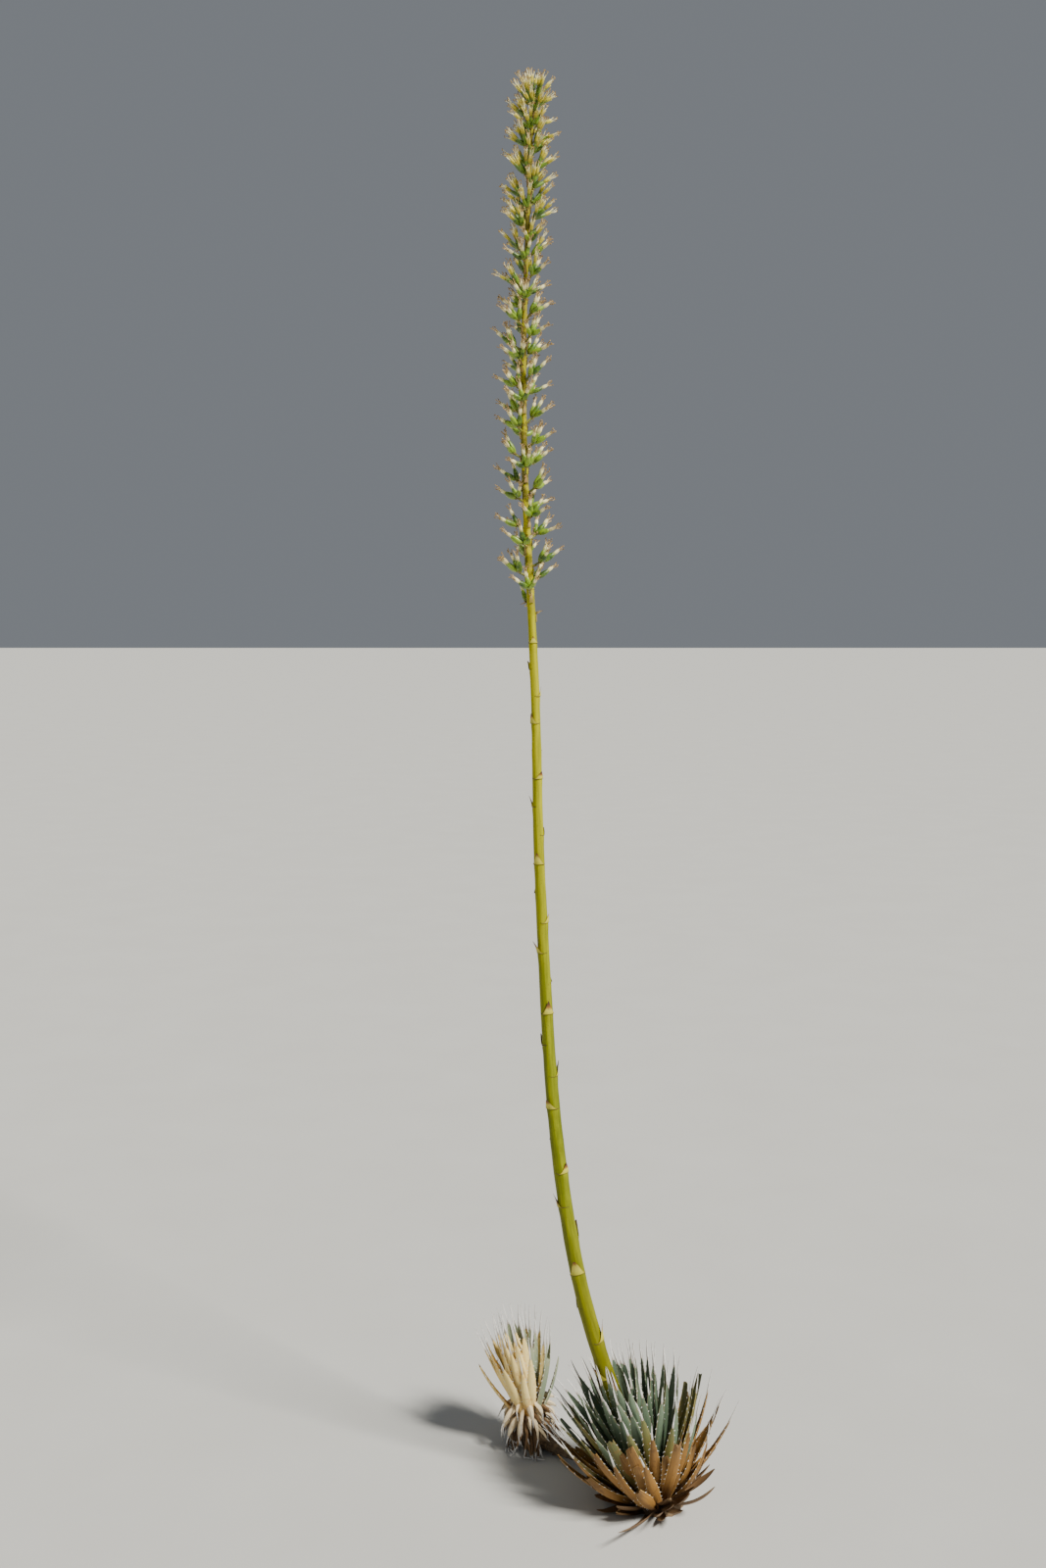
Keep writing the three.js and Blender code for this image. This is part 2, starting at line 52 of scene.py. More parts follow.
# The stalk leaves the ground aslant, bends upright, and bows and kinks a little on its way up
STALK_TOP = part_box("flower_stalk")[1].z
STALK_FOOT_RADIUS = 0.0165
STALK_TIP_RADIUS = 0.0022
CROWN_SWELL = 0.028
CROWN_HEIGHT = 0.072
HEEL_SLOPE = 0.5
BEND_HEIGHT = 0.400
BEND_WIDTH = 0.240
DRIFT = 0.004
BOW = 0.027
BOW_HEIGHT = 2.050
BOW_SPREAD = 0.480
KINK_DEPTH = 0.004
KINK_HEIGHTS = (0.370, 1.280)
KINK_SPREAD = 0.190
DEPTH_BOW = 0.022
FLAT_CUT = 0.060
BARK_HEIGHT = 0.100
SHAG_HEIGHT = 0.085
SHAG_DEPTH = 0.0025
TIP_ROUNDING = 0.006
BRACT_SWELLING = Form(below=0.004, rise=0.0011, length=0.010, width=1.3)
TWIG_SWELLING = Form(below=0.002, rise=0.0016, length=0.006, width=0.6)

# The bracts and the scar lines under them, painted dark as the bracts' shadows; spacing and length are given
# at the ground and under the flowers
FIRST_BRACT = 0.250
BRACT_SPACING = (0.072, 0.046)
BRACT_LENGTH = (0.052, 0.017)
BRACT_TRIM = 0.9
BRACT_SPREAD = 74
BRACT_THICKNESS = 0.0007
BRACT_TURN = radians(215)
BRACT_HEADROOM = 0.018
RIND_CLEARANCE = 0.0014
FOOT_BRACTS = Form(count=5, first=0.118, step=0.026, length=0.095, shortening=0.008, spread=40, thick=0.0010)
# The scar line under each bract's foot, tinted dark brown as painted shadow of the bract.
SCAR_AND_SHADOW = Form(below=0.001, reach=(84, 124), arch=0.0022, stand=0.0005, half=0.0005, least=0.0002, depth=0.0014)
SCAR_AND_SHADOW_TINT = 1.6

# The leaves and what grows on them
LEAF_ROWS = 12
ROOT_DEPTH = 0.003
LEAST_HEIGHT = 0.004
LEAST_RISE = 0.3
FRONT_STEEPENING = 0.40
FRONT_LENGTHENING = 0.9
TORN_YOUTH = 0.3
TORN_CHANCE = 0.4
SPINE = Form(overlap=0.006, radius=0.0014, point=0.00025)
TOOTH = Form(spacing=0.016, inset=0.0006, reach=0.0034, hook=0.0016, base=0.0019, thickness=0.0008)
TOOTHED = (0.1, 0.93)

# The flowering part; a pair holds the value at its foot and the value at its tip
GOLDEN_TURN = radians(137.508)
SPIKE_FOOT = 1.664
SPIKE_MARGINS = (0.008, 0.006)
TWIGS = 70
CROWDING = 0.35
TWIG_RISE = (24, 52)
TWIG_LENGTH = (0.014, 0.007)
TWIG_EXCESS = (0.009, 0.005)
TWIG_RADIUS = 0.0025
PAPERY_DROP = (0.013, 0.008)
PAPERY_LENGTH = (0.020, 0.011)
PAPERY_SPREAD = 34
SCALE_LENGTH = (0.016, 0.009)
SCALE_HALF = (0.0038, 0.0026)
FLOWERS_A_TWIG = (3.4, 5.4)
FAN = (110, 96)
LOW_RISE = (20, 27)
HIGH_RISE = (62, 66)
TOP_SHARE = 0.95
TOP_CLOSING = 34
OVARY_LENGTH = (0.022, 0.017)
OVARY_RADIUS = (0.0059, 0.0035)
PETAL_LENGTH = (0.015, 0.014)
BRUSH_LENGTH = (0.008, 0.009)
PETALS = 6
STRIP_THICKNESS = 0.0004
ANTHER_HALF = 0.0019
ANTHER_RADIUS = 0.0007

# The shares of their length that the lowest twigs reach
STUNTED_TWIGS = (0.45, 0.7)

# The one flower that stands out level near the top: its twig, its place on it, and its rise in degrees
STRAY_FLOWER = (60, 2)
STRAY_RISE = 3

# Within this reach along the stalk, flowers of different twigs stay apart by this share of their radii
CROWD_REACH = 0.07
PRESSED = 0.75

# Spent flowers below and fresh ones above: the pieces that their parts go to, and those parts' forms
FRESH_FROM = 0.60
SPENT = Form(
    pods="seed_pods", petals="dry_petals", stamens="dry_stamens", waist=0.42, girth=1, petal_share=0.9,
    petal_half=0.0025, flare=-0.0012, count=5, brush=0.75, spread=0.11, curl=0.34, droop=0.3, thick=0.00068,
)
FRESH = Form(
    pods="ovaries", petals="fresh_petals", stamens="fresh_stamens", waist=0.66, girth=0.86, petal_share=1,
    petal_half=0.0023, flare=0.0009, count=6, brush=0.9, spread=0.07, curl=0.22, droop=0, thick=0.00048,
)


def scatter(item, use):
    """A repeatable number from 0 to 1; each use of an item has a number of its own."""
    wave = sin(item * 12.9898 + use * 78.233) * 43758.5453
    return wave % 1


def sway(item, use):
    """A repeatable number from -1 to 1."""
    return 2 * scatter(item, use) - 1


def mix(low, high, share):
    return low + (high - low) * share


def evenly(count, low=0, high=1):
    """Evenly spaced values, one to a row."""
    return np.linspace(low, high, count)[:, None]


def unit(vectors):
    return vectors / np.linalg.norm(vectors, axis=-1, keepdims=True)


def towards(turn, rise):
    """The direction that faces a turn round the upright and rises above the level."""
    level = cos(rise)
    return np.array([cos(turn) * level, sin(turn) * level, sin(rise)])


def facing(turn, axis):
    """The direction square to an axis that faces a turn round it."""
    out = towards(turn, 0)
    return unit(out - axis * (out @ axis))


def stalk_line(z):
    """The middle of the stalk at one height or many."""
    z = np.asarray(z, float)
    at_ground = log1p(exp(-BEND_HEIGHT / BEND_WIDTH))
    rise = np.log1p(np.exp((z - BEND_HEIGHT) / BEND_WIDTH)) - at_ground
    kinked = sum(np.exp(-((z - height) / KINK_SPREAD) ** 2) for height in KINK_HEIGHTS)
    bowed = BOW * np.exp(-((z - BOW_HEIGHT) / BOW_SPREAD) ** 2) + KINK_DEPTH * kinked
    x = -HEEL_SLOPE * (z - BEND_WIDTH * rise) - DRIFT * z - bowed
    return np.stack([x, DEPTH_BOW * np.sin(pi * z / STALK_TOP), z], axis=-1)


def stalk_direction(z):
    """The direction that the stalk grows in, upright at the ground, where it is cut level."""
    z = np.asarray(z, float)
    slope = unit(stalk_line(z + 0.001) - stalk_line(np.maximum(0, z - 0.001)))
    share = np.minimum(1, z / FLAT_CUT)[..., None]
    return unit(np.array([0, 0, 1]) * (1 - share) + slope * share)


def stalk_taper(z):
    return mix(STALK_FOOT_RADIUS, STALK_TIP_RADIUS, z / STALK_TOP)


def stem_radius(z):
    return stalk_taper(z) + CROWN_SWELL * np.exp(-((z / CROWN_HEIGHT) ** 4))


# Modelling

def primitive(add, **sizes):
    """A new shape alone in the selection, from z = 0 to 1."""
    add(depth=1, location=(0, 0, 0.5), **sizes)
    bpy.ops.object.transform_apply(location=True)
    return bpy.context.object


def tube(sides, *divisions):
    """A closed tube of unit radius, its upright edges divided again and again."""
    piece = primitive(bpy.ops.mesh.primitive_cylinder_add, vertices=sides, radius=1)
    bpy.ops.object.mode_set(mode="EDIT")
    bpy.ops.mesh.select_mode(type="EDGE")
    for division in divisions:
        bpy.ops.mesh.select_all(action="DESELECT")
        shape = bmesh.from_edit_mesh(piece.data)
        for edge in shape.edges:
            if abs(edge.verts[0].co.z - edge.verts[1].co.z) > 1e-5:
                edge.select_set(True)
        bmesh.update_edit_mesh(piece.data)
        bpy.ops.mesh.subdivide(number_cuts=division - 1)
    bpy.ops.object.mode_set(mode="OBJECT")
    return piece


def points_of(piece):
    points = np.empty(len(piece.data.vertices) * 3)
    piece.data.vertices.foreach_get("co", points)
    return points.reshape(-1, 3)


def move_points(piece, points):
    piece.data.vertices.foreach_set("co", np.asarray(points).ravel())
    piece.data.update()


class Blank:
    """A shape of unit size along +Z, to be bent, sized and set in many places."""

    def __init__(self, piece, crease=50):
        self.crease = crease
        self.points = points_of(piece)
        self.faces = [tuple(face.vertices) for face in piece.data.polygons]
        bpy.data.objects.remove(piece)

    def flatten(self, hollow):
        """Turns the round section into a leaf's: a rounded keel below and a gentle rise above."""
        x, y, _ = self.points.T
        self.points[:, 1] = np.where(y < 0, np.abs(x) ** 2.2 - 1, hollow * (1 - x ** 2))
        return self

    def lobe(self, count, depth):
        """Draws the round section in between a number of lobes."""
        x, y, _ = self.points.T
        self.points[:, :2] *= (1 + depth * (np.cos(count * np.arctan2(y, x)) - 1))[:, None]
        return self


class Line:
    """A line in space, with the directions along it, across it and above it at every point."""

    def __init__(self, points, up):
        self.points = np.asarray(points, float)
        self.forward = unit(np.gradient(self.points, axis=0))
        self.across = unit(np.cross(np.broadcast_to(up, self.points.shape), self.forward))
        self.above = np.cross(self.forward, self.across)
        self.shares = np.linspace(0, 1, len(self.points))

    def at(self, rows, share):
        """Rows of values for the line's points, read at a share of its length or many."""
        rows = np.asarray(rows, float)
        if rows.ndim == 1:
            return np.interp(share, self.shares, rows)
        return np.stack([np.interp(share, self.shares, column) for column in rows.T], axis=-1)


def sweep(blank, line, half, depth, cup=0.0):
    """A blank's points bent along a line, with one half width and depth or one for each of its points."""
    x, y, along = blank.points.T
    width = line.at(half, along) if np.ndim(half) else half
    thick = line.at(depth, along) if np.ndim(depth) else depth
    rise = y * thick + cup * width * x ** 2
    across = line.at(line.across, along) * (x * width)[:, None]
    return line.at(line.points, along) + across + line.at(line.above, along) * rise[:, None]


def new_object(name, data):
    made = bpy.data.objects.new(name, data)
    bpy.context.scene.collection.objects.link(made)
    return made


def dress(piece, finish, nodes, crease=50):
    """Smooths a finished piece, gives it its finish and sets it on the frame."""
    bpy.ops.object.select_all(action="DESELECT")
    piece.select_set(True)
    bpy.context.view_layer.objects.active = piece
    bpy.ops.object.shade_smooth_by_angle(angle=radians(crease))
    piece.data.materials.append(finish.material)
    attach(piece, "root")
    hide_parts(*nodes)


def mark(piece, across, along, tint):
    """Stores each point's place on its leaf or limb and its tint, for the finishes to read."""
    spot = piece.data.attributes.new("spot", "FLOAT_VECTOR", "POINT")
    count = len(piece.data.vertices)
    values = np.stack([np.broadcast_to(value, count) for value in (across, along, tint)], axis=-1)
    spot.data.foreach_set("vector", values.astype(np.float32).ravel())


class Bunch:
    """Many copies of one blank that become a single piece."""

    def __init__(self, blank):
        self.blank = blank
        self.copies = []
        self.tints = []

    def add(self, points, tint):
        """Adds a copy by its points, none left below the ground."""
        points[:, 2] = np.maximum(points[:, 2], 0)
        self.copies.append(points)
        self.tints.append(tint)

    def grow(self, line, half, depth, tint, cup=0.0):
        """Adds a copy bent along a line."""
        self.add(sweep(self.blank, line, half, depth, cup), tint)

    def make(self, name, finish, slot, nodes):
        size = len(self.blank.points)
        faces = [
            tuple(corner + copy * size for corner in face)
            for copy in range(len(self.copies)) for face in self.blank.faces
        ]
        mesh = bpy.data.meshes.new(name)
        mesh.from_pydata(np.concatenate(self.copies), [], faces)
        piece = new_object(name, mesh)
        across = np.tile(self.blank.points[:, 0], len(self.copies))
        along = np.tile(self.blank.points[:, 2], len(self.copies))
        mark(piece, across, along, np.repeat(self.tints, size))
        dress(piece, finish, nodes, self.blank.crease)


# Finishes

def paint(code):
    """A colour from its screen code, as the linear values that a shader takes."""
    parts = [int(code[place:place + 2], 16) / 255 for place in (0, 2, 4)]
    return [part / 12.92 if part < 0.04045 else ((part + 0.055) / 1.055) ** 2.4 for part in parts] + [1]


def sign(operation, turned=False):
    """The method by which a wire's sign adds its Math node."""
    def method(self, other):
        first, second = (other, self) if turned else (self, other)
        return self.finish.node("Math", {"operation": operation}, {0: first, 1: second})
    return method


class Wire:
    """A shader socket that can stand in sums."""
    __add__ = __radd__ = sign("ADD")
    __sub__ = sign("SUBTRACT")
    __rsub__ = sign("SUBTRACT", turned=True)
    __mul__ = __rmul__ = sign("MULTIPLY")
    __pow__ = sign("POWER")

    def __init__(self, finish, socket):
        self.finish = finish
        self.socket = socket

    def between(self, low, high):
        """0 below one value and 1 above another, easing between them."""
        settings = {"interpolation_type": "SMOOTHSTEP"}
        return self.finish.node("MapRange", settings, {0: self, 1: low, 2: high})

    def below(self, low, high):
        """1 below one value and 0 above another."""
        return 1 - self.between(low, high)


class Finish:
    """A material with its shader, the nodes that feed it, and the colour laid on so far."""

    def __init__(self, name, **constants):
        self.material = bpy.data.materials.new(name)
        self.material.use_nodes = True
        self.tree = self.material.node_tree
        self.shader = self.tree.nodes["Principled BSDF"]
        for socket, value in constants.items():
            self.shader.inputs[socket.replace("_", " ")].default_value = value
        spot = self.node("Attribute", {"attribute_name": "spot"}, {}, "Vector")
        self.place = self.node("TexCoord", {}, {}, "Object")
        parts = self.node("SeparateXYZ", {}, {"Vector": spot})
        self.across, self.along, self.tint = (Wire(self, out) for out in parts.socket.node.outputs)

    def feed(self, socket, value):
        """Links a wire to a socket, or sets it to a number or to a colour given by its code."""
        if isinstance(value, Wire):
            self.tree.links.new(value.socket, socket)
        else:
            socket.default_value = paint(value) if isinstance(value, str) else value

    def node(self, kind, settings, sockets, output=0):
        made = self.tree.nodes.new("ShaderNode" + kind)
        for name, value in settings.items():
            setattr(made, name, value)
        for name, value in sockets.items():
            self.feed(made.inputs[name], value)
        return Wire(self, made.outputs[output])

    def blend(self, share, low, high):
        """A colour between two others."""
        return self.node("Mix", {"data_type": "RGBA"}, {0: share, 6: low, 7: high}, 2)

    def noise(self, scale, detail=4, where=None):
        sockets = {"Vector": where or self.place, "Scale": scale, "Detail": detail, "Roughness": 0.6}
        return self.node("TexNoise", {}, sockets)

    def streaks(self, across, along):
        """Fine lines that run the length of each leaf or limb, others on each one."""
        tinted = self.tint * 37
        sockets = {0: self.across * across + tinted, 1: self.along * along, 2: tinted}
        return self.noise(1, 3, self.node("CombineXYZ", {}, sockets))

    def ground(self, share, low, high):
        """Lays the first colour, between two others."""
        self.colour = self.blend(share, low, high)

    def coat(self, share, colour):
        """Lays a colour over what is there, as far as its share goes."""
        self.colour = self.blend(share, self.colour, colour)

    def end(self, roughness, height=None, relief=0.0005):
        """Feeds the shader its colour, its roughness and its relief."""
        self.feed(self.shader.inputs["Base Color"], self.colour)
        self.feed(self.shader.inputs["Roughness"], roughness)
        if height is not None:
            sockets = {"Strength": 0.6, "Distance": relief, "Height": height}
            self.feed(self.shader.inputs["Normal"], self.node("Bump", {}, sockets))
        return self


def rind_finish():
    """The stalk: streaked olive yellow, yellower above, scarred among the flowers, with bark at its foot."""
    rind = Finish("stalk_rind", Specular_IOR_Level=0.2)
    streaks = rind.streaks(1.6, 22)
    clouds = rind.noise(14)
    fibres = rind.streaks(9, 40)
    climb = rind.along + 0.1 * clouds
    specks = rind.noise(300, 2).between(0.64, 0.72)
    scarred = rind.noise(46, 3).between(0.47, 0.56)
    mottled = rind.noise(150, 3).between(0.50, 0.60)
    spike = rind.along.between(0.63, 0.70)
    rind.ground(streaks.between(0.3, 0.75), "646c02", "8d9205")
    rind.coat(fibres.between(0.54, 0.70) * 0.45, "555e04")
    rind.coat(fibres.below(0.30, 0.42) * 0.5, "a3a120")
    rind.coat(clouds.between(0.5, 0.72) * 0.5, "575e02")
    rind.coat(climb.between(0.34, 0.66) * (0.4 + 0.4 * streaks.between(0.35, 0.65)), "bcb402")
    # Darker, browner olive low on the stalk: partly the stalk's own colour, partly painted shade.
    rind.coat(climb.below(0.10, 0.34) * 0.6, "665c03")
    rind.coat(specks * 0.5, "6b5416")
    rind.coat(spike * 0.5, "bcb208")
    rind.coat(spike * scarred * 0.8, "4c4610")
    rind.coat(spike * mottled * 0.45, "a48c4c")
    rind.coat(climb.between(0.76, 0.95) * (0.4 + 0.4 * scarred), "6f6420")
    rind.coat(rind.tint, rind.blend(rind.noise(90, 6), "4d3b2a", "8c7456"))
    return rind.end(0.46 + 0.2 * clouds, clouds + 0.6 * fibres - 0.3 * specks)


def husk_finish():
    """The bracts: cream over yellow green, tan at the edges, browned from the point down as tint rises."""
    husk = Finish("bract_husk")
    streaks = husk.streaks(9, 2)
    edge = (husk.across * husk.across + 0.3 * streaks).between(0.75, 1.15)
    veins = husk.streaks(22, 1.5).between(0.5, 0.66)
    browned = husk.along + 0.6 * (streaks - 0.5) + 0.6 * husk.tint ** 1.5
    husk.ground((husk.along + 0.3 * streaks).between(0.1, 0.6), "a9a41c", "cdc548")
    husk.coat(edge * 0.7, "8f6a1c")
    husk.coat(veins * husk.along.between(0.1, 0.7) * 0.5, "8f6a1c")
    husk.coat(browned.between(0.66, 0.92), "8a5a1c")
    husk.coat(browned.between(0.86, 1.2), "452a12")
    # Painted shadow: each bract is darkened at its foot, where it meets the stalk.
    husk.coat(husk.along.below(0.01, 0.06) * 0.8, "4a3414")
    return husk.end(0.62, streaks, 0.0004)


def leaf_finish(name, base, middle, tip, edge, bloom):
    """A leaf: its colour from base to tip, mottled and finely streaked, with a pale or dark edge."""
    leaf = Finish(name)
    streaks = leaf.streaks(7, 2.2)
    clouds = leaf.noise(34, 5)
    place = leaf.along + 0.22 * (clouds - 0.5) + 0.16 * (leaf.tint - 0.5)
    blotches = (leaf.noise(75, 6) + 0.14 * streaks).between(0.62, 0.72)
    leaf.ground(place.between(0.04, 0.46), base, middle)
    leaf.coat(place.between(0.6, 1.02), tip)
    leaf.coat(streaks.between(0.42, 0.72) * 0.55, bloom)
    leaf.coat(leaf.tint.between(0, 1) * 0.35, middle)
    leaf.coat(blotches * 0.45, base)
    leaf.coat(streaks.below(0.24, 0.38) * 0.35, "4a3a24")
    leaf.coat((leaf.across * leaf.across).between(0.80, 0.96) * 0.85, edge)
    leaf.coat(leaf.noise(260, 3).between(0.62, 0.72) * 0.3, "4a3a28")
    return leaf.end(0.6 + 0.2 * clouds, streaks + 0.4 * clouds, 0.0009)


def spine_finish():
    """The spines and teeth: weathered grey white, browner at both ends."""
    spine = Finish("leaf_spine")
    streaks = spine.streaks(3, 8)
    spine.ground(streaks.between(0.35, 0.65), "c4c0ba", "f0ede8")
    spine.coat(spine.along.below(0.0, 0.25) * 0.6, "8f7452")
    spine.coat(spine.along.between(0.86, 1.0) * 0.5, "6b5647")
    return spine.end(0.5, streaks, 0.0003)


def wood_finish():
    """The old stems and leaf bases: fibrous grey brown with dark clefts."""
    bark = Finish("old_wood")
    fibres = bark.streaks(9, 2)
    clouds = bark.noise(60, 6)
    bark.ground(clouds.between(0.35, 0.65), "4b3a28", "7a644a")
    bark.coat(fibres.between(0.45, 0.7) * 0.5, "9c8766")
    bark.coat(fibres.below(0.3, 0.42) * 0.7, "2e2217")
    return bark.end(0.85, fibres + clouds, 0.0018)


def pod_finish(name, shade, light, foot):
    """Twigs, pods and ovaries: a shaded and a lit green in soft patches, painted shade and painted light,
    another green at the foot and a pale end.
    """
    pod = Finish(name, Coat_Weight=0.2, Coat_Roughness=0.35)
    clouds = pod.noise(110, 3)
    # Painted light and shade: the lit green and the shaded green are laid in soft random patches.
    pod.ground((clouds + 0.3 * pod.tint).between(0.4, 0.85), shade, light)
    pod.coat(pod.along.below(0.0, 0.3) * 0.5, foot)
    pod.coat(pod.along.between(0.88, 1.0) * 0.5, "a9a05c")
    return pod.end(0.45, pod.streaks(3, 1.5))


def petal_finish(name, foot, middle, tip, spent):
    """Petals, stamens and scales: colours from foot to tip, unevenly withered, and one for spent ones."""
    petal = Finish(name)
    withered = petal.noise(300, 3)
    place = petal.along + 0.35 * (withered - 0.5) + 0.3 * (petal.tint - 0.5)
    petal.ground(place.between(0.0, 0.45), foot, middle)
    petal.coat(place.between(0.6, 1.0), tip)
    petal.coat(petal.tint.between(0.68, 0.82) * 0.6, spent)
    return petal.end(0.6, petal.streaks(5, 2), 0.0003)


def ranks(*tiers):
    """The names of the frame's solids for some tiers of leaves."""
    return [f"{tier}_leaves_{rank}" for tier in tiers for rank in range(1, 9)]


# The kinds of leaf: slot, solids that they stand for, and colours of base, middle, tip, edge and bloom
LEAF_KINDS = {
    "green": ("leaf_green", ranks("middle", "inner"), "77703e 5c7056 6f7f68 c4b98e 87967f"),
    "dark": ("leaf_green", ranks("middle", "inner"), "63603a 43553e 556650 b0a67c 6a7b66"),
    "grey": ("leaf_green", ranks("offset"), "a39b70 7f8d70 959a78 c4b795 a3ab90"),
    "olive": ("leaf_green", ranks("middle"), "8c5c22 6a642a 626a44 c8ac68 807a42"),
    "ochre": ("leaf_dry", ranks("outer"), "56340f 8e6428 543c20 cfa862 a87c38"),
    "straw": ("leaf_straw", ranks("offset"), "c08c38 f0d688 e0c478 a06a28 faeab4"),
    "brown": ("leaf_dry", ranks("outer") + ["offset_stem"], "4a3218 6a4c2a 7d6240 3e2b18 8c7048"),
    "pale": ("leaf_straw", ["offset_stem"], "a98a5c d8c39a e3d6ba 8a6238 ede3cc"),
}

# The parts of the spike by finish: blank, finish's name, slot, first and last tier of solids, and colours
SPIKE_PARTS = {
    pod_finish: {
        "flower_twigs": ("thin", "flower_twig", "flower_green", 1, 12, "59601c 7d8026 6f5c26"),
        "seed_pods": ("pod", "pod_green", "flower_green", 1, 9, "2e500c 86a41e 868c2a"),
        "ovaries": ("pod", "ovary_green", "flower_green", 7, 12, "33540c 71901c 767f22"),
    },
    petal_finish: {
        "dry_petals": ("strip", "petal_cream", "petal_yellow", 1, 9, "bcc268 f6ecb2 a48a54 d0bc84"),
        "fresh_petals": ("strip", "petal_yellow", "petal_yellow", 7, 12, "6c7a18 c2b432 ece080 988030"),
        "branchlet_bracts": ("strip", "scale_tan", "bract_husk", 1, 12, "86762c b69a58 6c4c2c 7c5a38"),
        "dry_stamens": ("hair", "stamen_tan", "stamen_tan", 1, 9, "e4dcb0 c6aa78 8a6c46 9c8456"),
        "fresh_stamens": ("hair", "stamen_cream", "stamen_tan", 7, 12, "d2d06a f6efc0 e8dca4 bea05c"),
        "anthers": ("grain", "anther_tan", "stamen_tan", 1, 12, "8e723c b6965a 8e723c 785a30"),
    },
}


# The stalk

def bract_heights():
    heights = []
    z = FIRST_BRACT
    while z < SPIKE_FOOT - BRACT_HEADROOM:
        heights.append(z)
        z += mix(*BRACT_SPACING, z / SPIKE_FOOT)
    return heights


def twig_height(number):
    share = number / (TWIGS - 1)
    climb = share * (1 + CROWDING) - CROWDING * share ** 2
    return mix(SPIKE_FOOT + SPIKE_MARGINS[0], STALK_TOP - SPIKE_MARGINS[1], climb)


def twig_turn(number):
    return number * GOLDEN_TURN + radians(16 * sway(number, 11))


def swelling(z, turn, height, side, form):
    """How far the rind swells below a height, on the side at a turn."""
    off = np.abs((turn - side + pi) % (2 * pi) - pi)
    return form.rise * np.exp(-((z - (height - form.below)) / form.length) ** 2 - (off / form.width) ** 2)


def stalk_relief(z, turn):
    """How far the rind stands out: ribs, uneven growth, swellings under bracts and twigs, a shaggy foot."""
    ribs = np.cos(7 * turn + 2.5 * np.sin(7 * z)) * 0.006 + np.cos(11 * turn - 9 * z) * 0.003
    uneven = np.sin(41 * z + 1.3 * np.sin(turn)) * 0.014 + np.sin(97 * z + 2) * 0.006
    out = stalk_taper(z) * (ribs + uneven)
    for number, height in enumerate(bract_heights()):
        out += swelling(z, turn, height, number * GOLDEN_TURN + BRACT_TURN, BRACT_SWELLING)
    for number in range(TWIGS):
        out += swelling(z, turn, twig_height(number), twig_turn(number), TWIG_SWELLING)
    shaggy = np.exp(-(z / SHAG_HEIGHT) ** 6)
    return out + shaggy * SHAG_DEPTH * np.sin(13 * turn + 260 * z) * np.sin(7 * turn - 140 * z)


def stalk_piece(finish):
    """The short stem and the whole stalk, with the relief of its rind."""
    piece = tube(40, 20, 21)
    piece.name = "stalk_skin"
    x, y, share = points_of(piece).T
    turn = np.arctan2(y, x)
    z = share * STALK_TOP
    direction = stalk_direction(z)
    right = unit(np.cross([0, 1, 0], direction))
    behind = np.cross(direction, right)
    closing = np.sqrt(np.clip((STALK_TOP - z) / TIP_ROUNDING, 0.02, 1))
    radius = (stem_radius(z) + stalk_relief(z, turn)) * closing
    around = right * np.cos(turn)[:, None] + behind * np.sin(turn)[:, None]
    move_points(piece, stalk_line(z) + around * radius[:, None])
    mark(piece, np.cos(turn), share, np.exp(-(z / BARK_HEIGHT) ** 6))
    dress(piece, finish, ["flower_stalk"])


def clasping(blank, z, turn, length, spread, lift, thickness, narrowing=0.48):
    """A bract's points: wrapped round the stalk at its foot, its point standing off by lift."""
    x, y, along = blank.points.T
    direction = stalk_direction(z)
    out = facing(turn, direction)
    side = np.cross(direction, out)
    angle = x * radians(spread) * (1 - 0.96 * along ** narrowing)
    height = z + along * length
    thick = thickness * (1 - 0.6 * along)
    radius = stalk_taper(height) + RIND_CLEARANCE + thickness + lift * along ** 1.8 + y * thick
    around = np.cos(angle)[:, None] * out + np.sin(angle)[:, None] * side
    return stalk_line(height) + around * radius[:, None]


def bract_scar_and_shadow(blank, z, turn):
    """The fine dark brown line round the stalk under a bract's foot, highest at its two ends: a scar,
    darkened as painted shadow of the bract.
    """
    steps = np.linspace(-1, 1, 25)
    angle = turn + radians(mix(*SCAR_AND_SHADOW.reach, scatter(z * 1000, 36))) * steps
    out = np.stack([np.cos(angle), np.sin(angle), np.zeros(len(steps))], axis=-1)
    height = z + SCAR_AND_SHADOW.arch * steps ** 2
    points = stalk_line(height) + out * (stalk_taper(height) + SCAR_AND_SHADOW.stand)[:, None]
    half = SCAR_AND_SHADOW.half * (1 - steps ** 2) ** 0.5 + SCAR_AND_SHADOW.least
    return sweep(blank, Line(points, out), half, SCAR_AND_SHADOW.depth)


